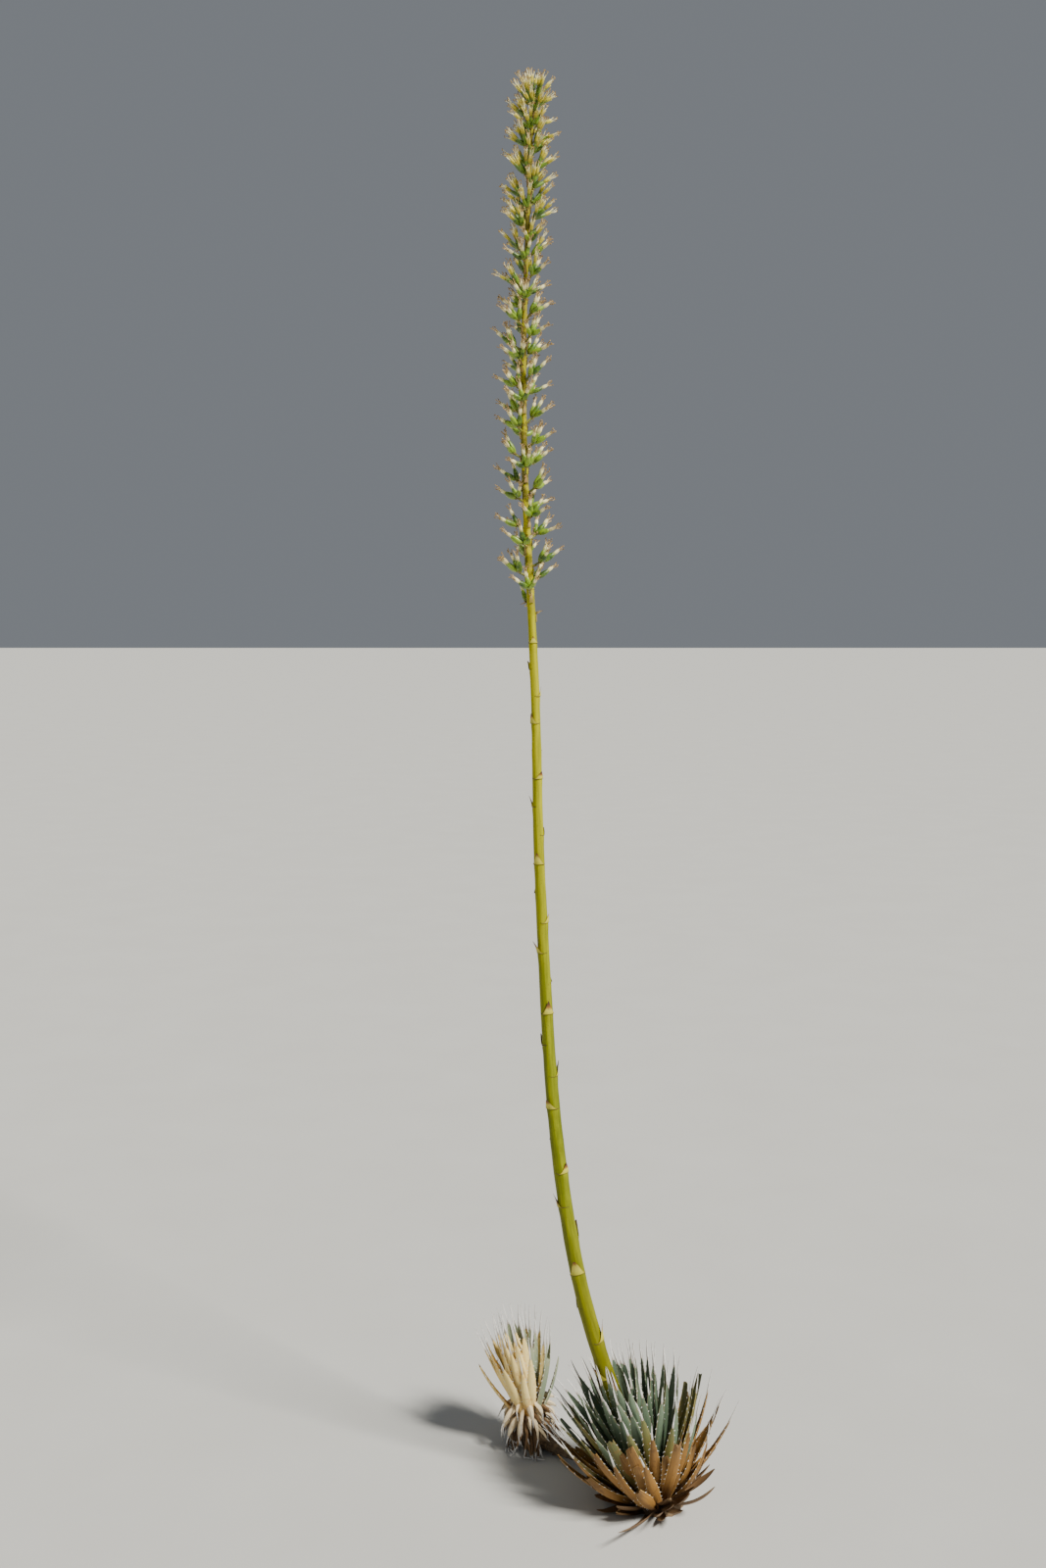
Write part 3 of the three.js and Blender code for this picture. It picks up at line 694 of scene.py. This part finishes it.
def bract_piece(finish, blank):
    """All the bracts on the bare stalk, the long narrow ones at its foot, and the scar lines under the
    bracts, painted dark as their shadows.
    """
    bunch = Bunch(blank)
    for number, z in enumerate(bract_heights()):
        length = mix(*BRACT_LENGTH, sqrt(z / SPIKE_FOOT)) * (0.92 + 0.2 * sway(number, 31))
        turn = number * GOLDEN_TURN + BRACT_TURN
        lift = length * (0.05 + 0.36 * scatter(number, 32) ** 3)
        bract = clasping(blank, z, turn, length * BRACT_TRIM, BRACT_SPREAD, lift, BRACT_THICKNESS)
        bunch.add(bract, scatter(number, 33))
    for number in range(FOOT_BRACTS.count):
        z = FOOT_BRACTS.first + FOOT_BRACTS.step * number
        turn = BRACT_TURN - (FOOT_BRACTS.count - number) * GOLDEN_TURN
        length = FOOT_BRACTS.length - FOOT_BRACTS.shortening * number
        lift = 0.003 + 0.005 * scatter(number, 34)
        bract = clasping(blank, z, turn, length, FOOT_BRACTS.spread, lift, FOOT_BRACTS.thick)
        bunch.add(bract, scatter(number, 35))
    # The scar lines, dark brown as painted shadow under the bracts.
    for number, z in enumerate(bract_heights()):
        bunch.add(bract_scar_and_shadow(blank, z - SCAR_AND_SHADOW.below, number * GOLDEN_TURN + BRACT_TURN), SCAR_AND_SHADOW_TINT)
    bunch.make("stalk_bracts", finish, "bract_husk", ["flower_stalk"])


# The rosettes

def offset_line(z):
    """The middle of the offset's stem at one height or many."""
    axis = rosette_axis(OFFSET)
    return np.array([*OFFSET.foot, 0]) + np.asarray(z, float)[..., None] * axis / axis[2]


def offset_radius(z):
    return OFFSET.neck + OFFSET.swell * np.exp(-((z / OFFSET.crown) ** 4))


# The two rosettes; heights and tilts go from the oldest leaf to the youngest, in metres and degrees
MAIN = Form(
    leaves=104, seed=100, heights=(0.018, 0.106), tilts=(52, 8), lean=14, leans_to=180,
    blade=0.180, half=0.0128, thickness=0.009, spine=0.036, incurve=28,
    line=stalk_line, radius=stem_radius,
)
OFFSET = Form(
    leaves=46, seed=400, heights=(0.064, 0.124), tilts=(30, 5), lean=11, leans_to=165,
    blade=0.132, half=0.0112, thickness=0.008, spine=0.042, incurve=16,
    line=offset_line, radius=offset_radius, foot=(-0.232, 0.208), neck=0.013, swell=0.012, crown=0.106,
)

# The dead and broken leaves under the living ones: where they stand, how they hang, and their size
SKIRT_ROW = "rosette kind torn count seed heights tilts curl length half thickness cup spine twist".split()
SKIRTS = [Form(**dict(zip(SKIRT_ROW, row))) for row in (
    (MAIN, "brown", False, 40, 700, (0.004, 0.024), (70, 58), 30, 0.066, 0.0120, 0.003, 0.3, 0, 0.15),
    (MAIN, "ochre", True, 44, 1500, (0.018, 0.056), (60, 40), 34, 0.100, 0.0122, 0.008, 0.25, 0, 0.25),
    (OFFSET, "brown", False, 64, 800, (0.030, 0.092), (150, 138), -50, 0.056, 0.0042, 0.003, 0.6, 0.014, 0.7),
    (OFFSET, "pale", False, 50, 900, (0.054, 0.098), (142, 112), -130, 0.047, 0.0062, 0.003, 0.6, 0.014, 0.7),
)]
SKIRT_YOUTH = 0.2
SKIRT_LEAST_RISE = 0.16

# The runner that joins the two stems
RUNNER = Form(length=hypot(*OFFSET.foot), height=0.013, arch=0.005, radius=0.010, flare=0.0025)


def rosette_axis(rosette):
    return towards(radians(rosette.leans_to), radians(90 - rosette.lean))


def lifted(tilt, out, axis, least_rise):
    """A leaf's tilt, drawn in until the leaf keeps off the ground."""
    while out[2] * sin(tilt) + axis[2] * cos(tilt) < least_rise:
        tilt -= radians(1)
    return tilt


def steeper(out, youth):
    """The share of its tilt that a leaf keeps: old leaves at the front are drawn up."""
    return 1 - (1 - youth) * FRONT_STEEPENING * max(0, -out[1])


def leaf_of(rosette, number):
    """How one leaf stands and its size, from its place in the rosette's spiral."""
    youth = number / (rosette.leaves - 1)
    seed = rosette.seed + number
    axis = rosette_axis(rosette)
    out = facing(number * GOLDEN_TURN + radians(2.5 * sway(seed, 1)), axis)
    tilt = radians(mix(*rosette.tilts, youth ** 0.82) + 2.5 * sway(seed, 3))
    tilt *= steeper(out, youth)
    tilt = lifted(tilt, out, axis, LEAST_RISE)
    z = mix(*rosette.heights, youth)
    prime = sin(pi * mix(0.2, 0.8, youth))
    return Form(
        youth=youth, seed=seed, axis=axis, out=out, tilt=tilt + radians(4 * sway(seed, 13)),
        twist=0.10 * sway(seed, 14), cup=0.2,
        curl=radians(mix(rosette.incurve, 8, youth) + 9 * sway(seed, 2)),
        root=rosette.line(z) + out * (rosette.radius(z) - ROOT_DEPTH),
        length=rosette.blade * (0.76 + 0.26 * prime) * (1 + 0.06 * sway(seed, 4)),
        half=rosette.half * (0.8 + 0.22 * prime) * (1 + 0.07 * sway(seed, 5)),
        thickness=rosette.thickness * mix(1, 0.72, youth),
        spine=rosette.spine * (1 + 0.2 * sway(seed, 6)),
        torn=youth < TORN_YOUTH and scatter(seed, 15) < TORN_CHANCE,
    )


def leaf_line(leaf):
    """The line of a blade, which bends towards the rosette's axis where its curl is above 0."""
    shares = (np.arange(LEAF_ROWS - 1) + 0.5) / (LEAF_ROWS - 1)
    angle = leaf.tilt + leaf.curl * (0.5 - shares)
    side = np.cross(leaf.axis, leaf.out)
    bend = leaf.twist * shares
    steps = np.sin(angle)[:, None] * leaf.out + np.cos(angle)[:, None] * leaf.axis + bend[:, None] * side
    steps = unit(steps) * leaf.length / (LEAF_ROWS - 1)
    points = leaf.root + np.vstack([np.zeros(3), np.cumsum(steps, axis=0)])
    points[:, 2] = np.maximum(points[:, 2], LEAST_HEIGHT)
    return Line(points, -leaf.out + 1.2 * leaf.twist * side)


def blade_half(leaf):
    """Half the blade's width at each row, blunt where the point has torn off."""
    along = np.linspace(0, 1, LEAF_ROWS)
    waist = 1 - 0.12 * np.exp(-((along - 0.22) / 0.14) ** 2)
    end = 1 - 0.45 * along ** 4 if leaf.torn else (1 - along ** 3) ** 0.9
    return leaf.half * waist * (0.1 + 0.9 * end)


def add_leaf(leaf, blades):
    """Adds one blade to a bunch, ragged where it is torn, and returns its line."""
    along = np.linspace(0, 1, LEAF_ROWS)
    line = leaf_line(leaf)
    depth = leaf.thickness * (0.85 - 0.69 * along ** 0.7)
    points = sweep(blades.blank, line, blade_half(leaf), depth, leaf.cup)
    if leaf.torn:
        ragged = [sway(leaf.seed + 7 * x, 16) * (z > 0.99) for x, _, z in blades.blank.points]
        points += np.outer(ragged, line.forward[-1]) * leaf.half * 0.7
    blades.add(points, scatter(leaf.seed, 7))
    return line


def add_spine(leaf, line, spines):
    """Adds the long spine that the blade is drawn out into."""
    start = line.points[-1] - line.forward[-1] * SPINE.overlap
    side = line.across[-1] * 0.10 * sway(leaf.seed, 8) + line.above[-1] * 0.10 * sway(leaf.seed, 9)
    steps = evenly(7)
    points = start + (line.forward[-1] + side * steps) * (leaf.spine + SPINE.overlap) * steps
    radius = max(SPINE.radius, leaf.half * 0.15) * (1 - steps[:, 0]) ** 0.65 + SPINE.point
    spines.grow(Line(points, line.above[-1]), radius, radius * 0.8, scatter(leaf.seed, 10))


def add_teeth(leaf, line, teeth):
    """Adds the teeth along both edges of a blade, hooked back towards its foot."""
    half = blade_half(leaf)
    x, y, z = teeth.blank.points.T
    for side in (-1, 1):
        along = TOOTHED[0] + 0.05 * scatter(leaf.seed, 21 + side)
        tooth = 0
        while along < TOOTHED[1]:
            item = leaf.seed * 40 + tooth * 2 + side
            width = line.at(half, along)
            across = line.at(line.across, along) * side
            above = line.at(line.above, along)
            edge = line.at(line.points, along) + above * leaf.cup * width + across * (width - TOOTH.inset)
            reach = TOOTH.reach * (1 + 0.35 * sway(item, 22))
            hook = -TOOTH.hook * (1 + sway(item, 23))
            points = edge + (z * reach)[:, None] * across + (y * TOOTH.thickness * side)[:, None] * above
            points = points + (x * TOOTH.base + z * hook)[:, None] * line.at(line.forward, along)
            teeth.add(points, scatter(item, 24))
            along += TOOTH.spacing / leaf.length * (1 + 0.3 * sway(item, 25))
            tooth += 1


def withered_leaf(skirt, number):
    """A dead leaf below or between the living ones: short, curled and twisted."""
    rosette = skirt.rosette
    share = number / (skirt.count - 1)
    seed = skirt.seed + number
    axis = rosette_axis(rosette)
    out = facing(number * GOLDEN_TURN + 0.4 * sway(seed, 1), axis)
    z = mix(*skirt.heights, share)
    tilt = radians(mix(*skirt.tilts, share) + 8 * sway(seed, 2))
    length = skirt.length * (1 + 0.3 * sway(seed, 5))
    if skirt.torn:
        tilt *= steeper(out, SKIRT_YOUTH)
    elif rosette is MAIN:
        length *= 1 + FRONT_LENGTHENING * (number % 2) * max(0, -out[1]) ** 2
    if rosette is MAIN:
        tilt = lifted(tilt, out, axis, SKIRT_LEAST_RISE)
    return Form(
        seed=seed, axis=axis, out=out, tilt=tilt, twist=skirt.twist * sway(seed, 4),
        curl=radians(skirt.curl * (1 + 0.5 * sway(seed, 3))),
        root=rosette.line(z) + out * (rosette.radius(z) - ROOT_DEPTH),
        length=length, half=skirt.half * (1 + 0.25 * sway(seed, 6)),
        thickness=skirt.thickness, cup=skirt.cup * (0.6 + 0.8 * scatter(seed, 8)), spine=skirt.spine,
        torn=skirt.torn,
    )


def kind_of_leaf(rosette, leaf):
    """Which kind a leaf is: the oldest are mostly dry, the offset's front ones straw."""
    chance = scatter(leaf.seed, 12)
    if rosette is OFFSET:
        front = -leaf.out[1] * 0.6 - leaf.out[0] * 0.8
        return "straw" if front > -0.1 or chance > 0.85 else "grey"
    if leaf.youth < 0.25:
        return "ochre" if chance < 0.8 else "olive"
    if leaf.youth < 0.46:
        return "olive" if chance < 0.55 else "green"
    return "ochre" if chance > 0.97 else "dark" if chance < 0.35 else "green"


def rosette_pieces(blanks):
    """Every blade, spine and tooth of both rosettes, each kind joined."""
    blades = {kind: Bunch(blanks["leaf"]) for kind in LEAF_KINDS}
    spines = Bunch(blanks["thin"])
    teeth = Bunch(blanks["tooth"])
    for rosette in (MAIN, OFFSET):
        for number in range(rosette.leaves):
            leaf = leaf_of(rosette, number)
            line = add_leaf(leaf, blades[kind_of_leaf(rosette, leaf)])
            if not leaf.torn:
                add_spine(leaf, line, spines)
            add_teeth(leaf, line, teeth)
    for skirt in SKIRTS:
        for number in range(skirt.count):
            leaf = withered_leaf(skirt, number)
            line = add_leaf(leaf, blades[skirt.kind])
            if skirt.torn:
                add_teeth(leaf, line, teeth)
            if skirt.spine:
                add_spine(leaf, line, spines)
    for kind, (slot, nodes, colours) in LEAF_KINDS.items():
        blades[kind].make(f"{kind}_leaves", leaf_finish(f"leaf_{kind}", *colours.split()), slot, nodes)
    finish = spine_finish()
    spines.make("leaf_spines", finish, "leaf_spine", ranks("inner"))
    teeth.make("leaf_teeth", finish, "leaf_spine", ranks("inner"))


def leaf_bases_piece(finish, blank):
    """The stubs of old leaves that clothe the heel, the offset's stem and the runner."""
    bunch = Bunch(blank)
    for line, radius, count, reach, size, seed, wander in (
        (stalk_line, stem_radius, 64, (0.002, 0.034), 0.026, 1200, 0.3),
        (offset_line, offset_radius, 90, (0.004, 0.100), 0.024, 1100, 0.3),
        (runner_line, runner_radius, 46, (0.050, RUNNER.length - 0.030), 0.013, 1300, 0.9),
    ):
        for number in range(count):
            item = seed + number
            distance = mix(*reach, number / (count - 1))
            here = line(distance)
            forward = unit(line(distance + 0.001) - here)
            turn = number * GOLDEN_TURN + wander * sway(item, 1)
            out = towards(turn, 0)
            if line is runner_line:
                side = unit(np.cross(forward, [0, 0, 1]))
                out = side * cos(turn) + np.cross(side, forward) * sin(turn)
            steps = evenly(8)
            length = size * (1 + 0.25 * sway(item, 2))
            lift = 0.0015 + length * (0.10 + 0.12 * scatter(item, 3)) * steps ** 1.5
            points = here + out * (radius(distance) - 0.001 + lift) + forward * length * steps
            half = size * 0.36 * (1 - steps[:, 0] ** 2.5) ** 0.7 + 0.0006
            bunch.grow(Line(points, -out), half, 0.0016, scatter(item, 4), 0.25)
    bunch.make("leaf_bases", finish, "old_wood", ["offset_stem", "flower_stalk"])


def old_stem_piece(name, finish, line, radius, lengths):
    """A fibrous old stem along a line between two distances."""
    rows = 40
    piece = tube(28, rows)
    piece.name = name
    x, y, share = points_of(piece).T
    turn = np.arctan2(y, x)
    distance = mix(*lengths, share)
    course = Line(line(np.linspace(*lengths, rows)), (0, 1, 0.3))
    rough = 1 + 0.08 * np.sin(9 * turn + 300 * distance) * np.sin(5 * turn - 170 * distance)
    reach = (radius(distance) * rough)[:, None]
    around = course.at(course.across, share) * x[:, None] + course.at(course.above, share) * y[:, None]
    points = course.at(course.points, share) + around * reach
    points[:, 2] = np.maximum(points[:, 2], 0)
    move_points(piece, points)
    mark(piece, np.cos(turn), share, 0.5)
    dress(piece, finish, ["offset_stem"])


def runner_line(distance):
    """The middle of the runner at one distance from the main stem or many."""
    share = np.asarray(distance, float)[..., None] / RUNNER.length
    height = RUNNER.height + RUNNER.arch * np.sin(pi * share)
    return share * [*OFFSET.foot, 0] + height * [0, 0, 1]


def runner_radius(distance):
    return RUNNER.radius + RUNNER.flare * np.cos(2 * pi * distance / RUNNER.length)


# The flowering part

def twig_of(number):
    """The twig at one place in the spiral; the lowest are stunted."""
    share = number / (TWIGS - 1)
    z = twig_height(number)
    turn = twig_turn(number)
    rise = radians(mix(*TWIG_RISE, share) + 9 * sway(number, 12))
    length = stalk_taper(z) + mix(*TWIG_LENGTH, share) + mix(*TWIG_EXCESS, share) * scatter(number, 13)
    stunted = number < len(STUNTED_TWIGS)
    if stunted:
        length *= STUNTED_TWIGS[number]
    start = stalk_line(z)
    tip = start + towards(turn, rise) * length
    return Form(number=number, share=share, z=z, turn=turn, start=start, tip=tip, stunted=stunted)


def flower_of(twig, place, count):
    """One flower of a twig: its root, its direction, its look and the sizes of its parts."""
    share = twig.share
    item = 1000 + twig.number * 8 + place
    fan = (place / (count - 1) - 0.5) * mix(*FAN, share) if count > 1 else 0
    closing = TOP_CLOSING * max(0, (share - TOP_SHARE) / (1 - TOP_SHARE))
    low = mix(*LOW_RISE, share) + closing
    high = mix(*HIGH_RISE, share) + closing / 2
    upper = place % 2 == 1 or twig.stunted
    rise = mix(low, high, 0.6 + 0.4 * scatter(item, 15)) if upper else low + 12 * sway(item, 16)
    if (twig.number, place) == STRAY_FLOWER:
        rise = STRAY_RISE
    return Form(
        item=item,
        look=SPENT if share < FRESH_FROM + 0.12 * sway(item, 42) else FRESH,
        root=mix(twig.start, twig.tip, 0.8 if upper else 1),
        direction=towards(twig.turn + radians(fan + 10 * sway(item, 17)), radians(rise)),
        ovary=mix(*OVARY_LENGTH, share) * (1 + 0.1 * sway(item, 18)),
        radius=mix(*OVARY_RADIUS, share) * (1 + 0.12 * sway(item, 19)),
        petals=mix(*PETAL_LENGTH, share),
        brush=mix(*BRUSH_LENGTH, share) * (1 + 0.2 * sway(item, 20)),
    )


def flower_length(flower):
    return flower.ovary + flower.petals + flower.brush


def rod_distance(one, two):
    """The least distance between two flowers taken as straight rods."""
    steps = evenly(9, 0, flower_length(one))
    here = one.root + one.direction * steps
    reach = np.clip((here - two.root) @ two.direction, 0, flower_length(two))[:, None]
    return np.linalg.norm(here - two.root - two.direction * reach, axis=1).min()


def clear_flowers():
    """The twigs with the flowers that keep clear of those on other twigs."""
    standing = []
    twigs = []
    for number in range(TWIGS):
        twig = twig_of(number)
        usual = mix(*FLOWERS_A_TWIG, twig.share) + 0.7 * sway(number, 14)
        count = number if twig.stunted else round(usual)
        twig.flowers = []
        for place in range(count):
            flower = flower_of(twig, place, count)
            crowd = [other for other in standing if abs(other.root[2] - flower.root[2]) < CROWD_REACH]
            near = [rod_distance(flower, other) - PRESSED * (flower.radius + other.radius) for other in crowd]
            if min(near, default=1) > 0:
                twig.flowers.append(flower)
        standing.extend(twig.flowers)
        twigs.append(twig)
    return twigs


def ring_directions(direction, count, turn):
    """Directions square to a flower's own, evenly spaced round it."""
    side = unit(np.cross(direction, [0.1, 0.2, 1.0]))
    over = np.cross(direction, side)
    angles = turn + 2 * pi * np.arange(count) / count
    return np.cos(angles)[:, None] * side + np.sin(angles)[:, None] * over


def add_pod(flower, bunches):
    """Adds a flower's short stalk and its pod or ovary, and returns where its petals start and point."""
    look = flower.look
    direction = flower.direction
    rise = np.array([0, 0, 0.10])
    steps = evenly(9)
    points = flower.root + direction * 0.003 + (direction + rise * steps) * flower.ovary * steps
    stalk = flower.root + direction * evenly(4, -0.002, 0.005)
    thin = flower.radius * 0.34
    bunches["flower_twigs"].grow(Line(stalk, (0.3, 0.2, 1)), thin, thin, scatter(flower.item, 41))
    bulge = np.sin(pi * np.minimum(1, steps[:, 0] * 0.96 + 0.06)) ** 0.7
    radius = flower.radius * (look.waist + (1 - look.waist) * bulge) * look.girth
    bunches[look.pods].grow(Line(points, (0.3, 0.2, 1)), radius, radius, scatter(flower.item, 43))
    return points[-1], unit(direction + 2 * rise)


def add_petals(flower, start, direction, bunches):
    """Adds the petals: shut and shrunken on spent flowers, flared on fresh ones."""
    look = flower.look
    steps = evenly(6)
    for place, out in enumerate(ring_directions(direction, PETALS, 6 * scatter(flower.item, 45))):
        item = flower.item * 6 + place
        side = np.cross(direction, out)
        length = flower.petals * look.petal_share * (1 + 0.16 * sway(item, 47))
        bulge = 0.0005 * np.sin(pi * steps) + (look.flare + 0.0014 * sway(item, 46)) * steps ** 3
        points = start + direction * (length * steps - 0.001) + out * (look.petal_half + bulge)
        points = points + side * 0.0022 * sway(item, 56) * steps ** 2
        half = look.petal_half * 0.95 * np.sin(pi * (0.25 + 0.68 * steps[:, 0])) ** 0.5
        tint = mix(scatter(flower.item, 48), scatter(item, 48), 0.3)
        bunches[look.petals].grow(Line(points, out), half, STRIP_THICKNESS, tint, -0.4)


def add_stamens(flower, start, direction, bunches):
    """Adds the stamens, more curled where they have withered, each with its anther."""
    look = flower.look
    inside = flower.petals * 0.5
    steps = evenly(7)
    for place, out in enumerate(ring_directions(direction, look.count, 6 * scatter(flower.item, 49))):
        item = flower.item * 6 + place
        side = np.cross(direction, out)
        reach = (inside + flower.brush * look.brush) * (1 + 0.24 * sway(item, 50))
        spread = out * (0.0010 + reach * (look.spread + 0.15 * scatter(item, 51)) * steps ** 1.6)
        curl = side * look.curl * sway(item, 52) * reach * np.sin(2.4 * steps ** 1.5)
        droop = look.droop * scatter(item, 57)
        points = start + direction * (inside + reach * steps * (1 - droop * steps))
        line = Line(points + spread + curl, out)
        bunches[look.stamens].grow(line, look.thick, look.thick, scatter(item, 53))
        tip = line.forward[-1]
        across = unit(line.across[-1] + 2.0 * sway(item, 54) * tip + sway(item, 58) * line.above[-1])
        anther = line.points[-1] + across * evenly(4, -ANTHER_HALF, ANTHER_HALF)
        bunches["anthers"].grow(Line(anther, tip), ANTHER_RADIUS, ANTHER_RADIUS, scatter(item, 55))


def add_twig(twig, bunches):
    """Adds a twig, the papery bract under it, and the scales at its foot and fork."""
    number, share, turn = twig.number, twig.share, twig.turn
    scales = bunches["branchlet_bracts"]
    out = towards(turn, 0)
    root = twig.start + out * (stalk_taper(twig.z) - 0.003)
    steps = evenly(5)
    points = root + (twig.tip - root) * steps
    radius = min(TWIG_RADIUS, stalk_taper(twig.z) * 0.5) * (1 - 0.2 * steps[:, 0])
    bunches["flower_twigs"].grow(Line(points, (0.1, 0.2, 1)), radius, radius, scatter(number, 61))
    foot = twig.z - mix(*PAPERY_DROP, share)
    length = mix(*PAPERY_LENGTH, share) * (1 + 0.3 * sway(number, 66))
    lift = 0.0008 + 0.004 * scatter(number, 67) ** 2
    side = turn + 0.3 * sway(number, 65)
    papery = clasping(scales.blank, foot, side, length, PAPERY_SPREAD, lift, thickness=0.0006, narrowing=0.9)
    scales.add(papery, scatter(number, 68))
    for place in range(3):
        item = number * 3 + place
        length = mix(*SCALE_LENGTH, share) * (1 + 0.25 * sway(item, 62)) * (1 if place == 0 else 0.7)
        way = towards(turn + 0.9 * (place - 1 if place else 0), radians(35 * sway(item, 63)))
        start = root + out * 0.002 if place == 0 else mix(root, twig.tip, 0.75)
        course = start + way * length * steps + np.array([0, 0, 0.25 * length]) * steps ** 2
        half = mix(*SCALE_HALF, share) * (1 - steps[:, 0]) ** 0.7 + 0.0002
        if twig.stunted:
            half = half * 1.6
        scales.grow(Line(course, (0, 0, -1)), half, STRIP_THICKNESS, scatter(item, 64), -0.5)


def flowering_pieces(blanks):
    """Every twig, pod, petal and stamen, each kind joined."""
    bunches = {name: Bunch(blanks[row[0]]) for rows in SPIKE_PARTS.values() for name, row in rows.items()}
    for twig in clear_flowers():
        add_twig(twig, bunches)
        for flower in twig.flowers:
            start, direction = add_pod(flower, bunches)
            add_petals(flower, start, direction, bunches)
            add_stamens(flower, start, direction, bunches)
    for finish, rows in SPIKE_PARTS.items():
        for name, (_, material, slot, first, last, colours) in rows.items():
            tiers = [f"flower_tier_{tier:02d}" for tier in range(first, last + 1)]
            bunches[name].make(name, finish(material, *colours.split()), slot, tiers)


# The stage

def floor_piece():
    bpy.ops.mesh.primitive_plane_add(size=240, location=(0, 0, 0))
    floor = bpy.context.object
    floor.name = "floor"
    finish = Finish("pale_floor")
    finish.ground(finish.noise(3, 3), "bebcb6", "c6c5c0")
    floor.data.materials.append(finish.end(0.9).material)


def light(kind, name, strength, place, turn, **settings):
    lamp = bpy.data.lights.new(name, kind)
    lamp.energy = strength
    for setting, value in settings.items():
        setattr(lamp, setting, value)
    holder = new_object(name, lamp)
    holder.location = place
    holder.rotation_euler = [radians(angle) for angle in turn]


def studio():
    """A soft key from the front right, a weak fill from the front left, and an even dim surround."""
    light("SUN", "key", 6.7, (3, -3, 4), (44, 0, 52), angle=radians(12), color=(1, 0.98, 0.92))
    light("AREA", "fill", 3.5, (-3.2, -2.6, 2.4), (62, 0, -50), size=2.5, color=(0.9, 0.95, 1))
    world = bpy.data.worlds.new("surround")
    bpy.context.scene.world = world
    world.use_nodes = True
    backdrop = world.node_tree.nodes["Background"]
    backdrop.inputs["Color"].default_value = (0.78, 0.84, 0.92, 1)
    backdrop.inputs["Strength"].default_value = 0.24


def photo_camera():
    """The photo's camera: at standing eye height, with a 35 mm lens on a 36 mm frame."""
    lens = bpy.data.cameras.new("camera")
    lens.lens = 35
    lens.sensor_width = 36
    camera = new_object("camera", lens)
    camera.location = (-0.2567, -2.729, 1.65)
    camera.rotation_euler = (radians(90 - 5.871), 0, 0)
    bpy.context.scene.camera = camera


blanks = {
    "leaf": Blank(tube(8, LEAF_ROWS - 1)).flatten(0.2),
    "husk": Blank(tube(32, 12)).flatten(0.2),
    "tooth": Blank(primitive(bpy.ops.mesh.primitive_cone_add, vertices=4, radius1=1, radius2=0), crease=30),
    "thin": Blank(tube(6, 5)),
    "pod": Blank(tube(9, 6), crease=70).lobe(3, 0.06),
    "strip": Blank(tube(6, 5)).flatten(0.3),
    "hair": Blank(tube(3, 4)),
    "grain": Blank(tube(4, 2)),
}
wood = wood_finish()
stalk_piece(rind_finish())
bract_piece(husk_finish(), blanks["husk"])
rosette_pieces(blanks)
leaf_bases_piece(wood, blanks["strip"])
old_stem_piece("offset_bark", wood, offset_line, offset_radius, (0, 0.146))
old_stem_piece("runner_bark", wood, runner_line, runner_radius, (0.018, RUNNER.length))
flowering_pieces(blanks)
floor_piece()
studio()
photo_camera()
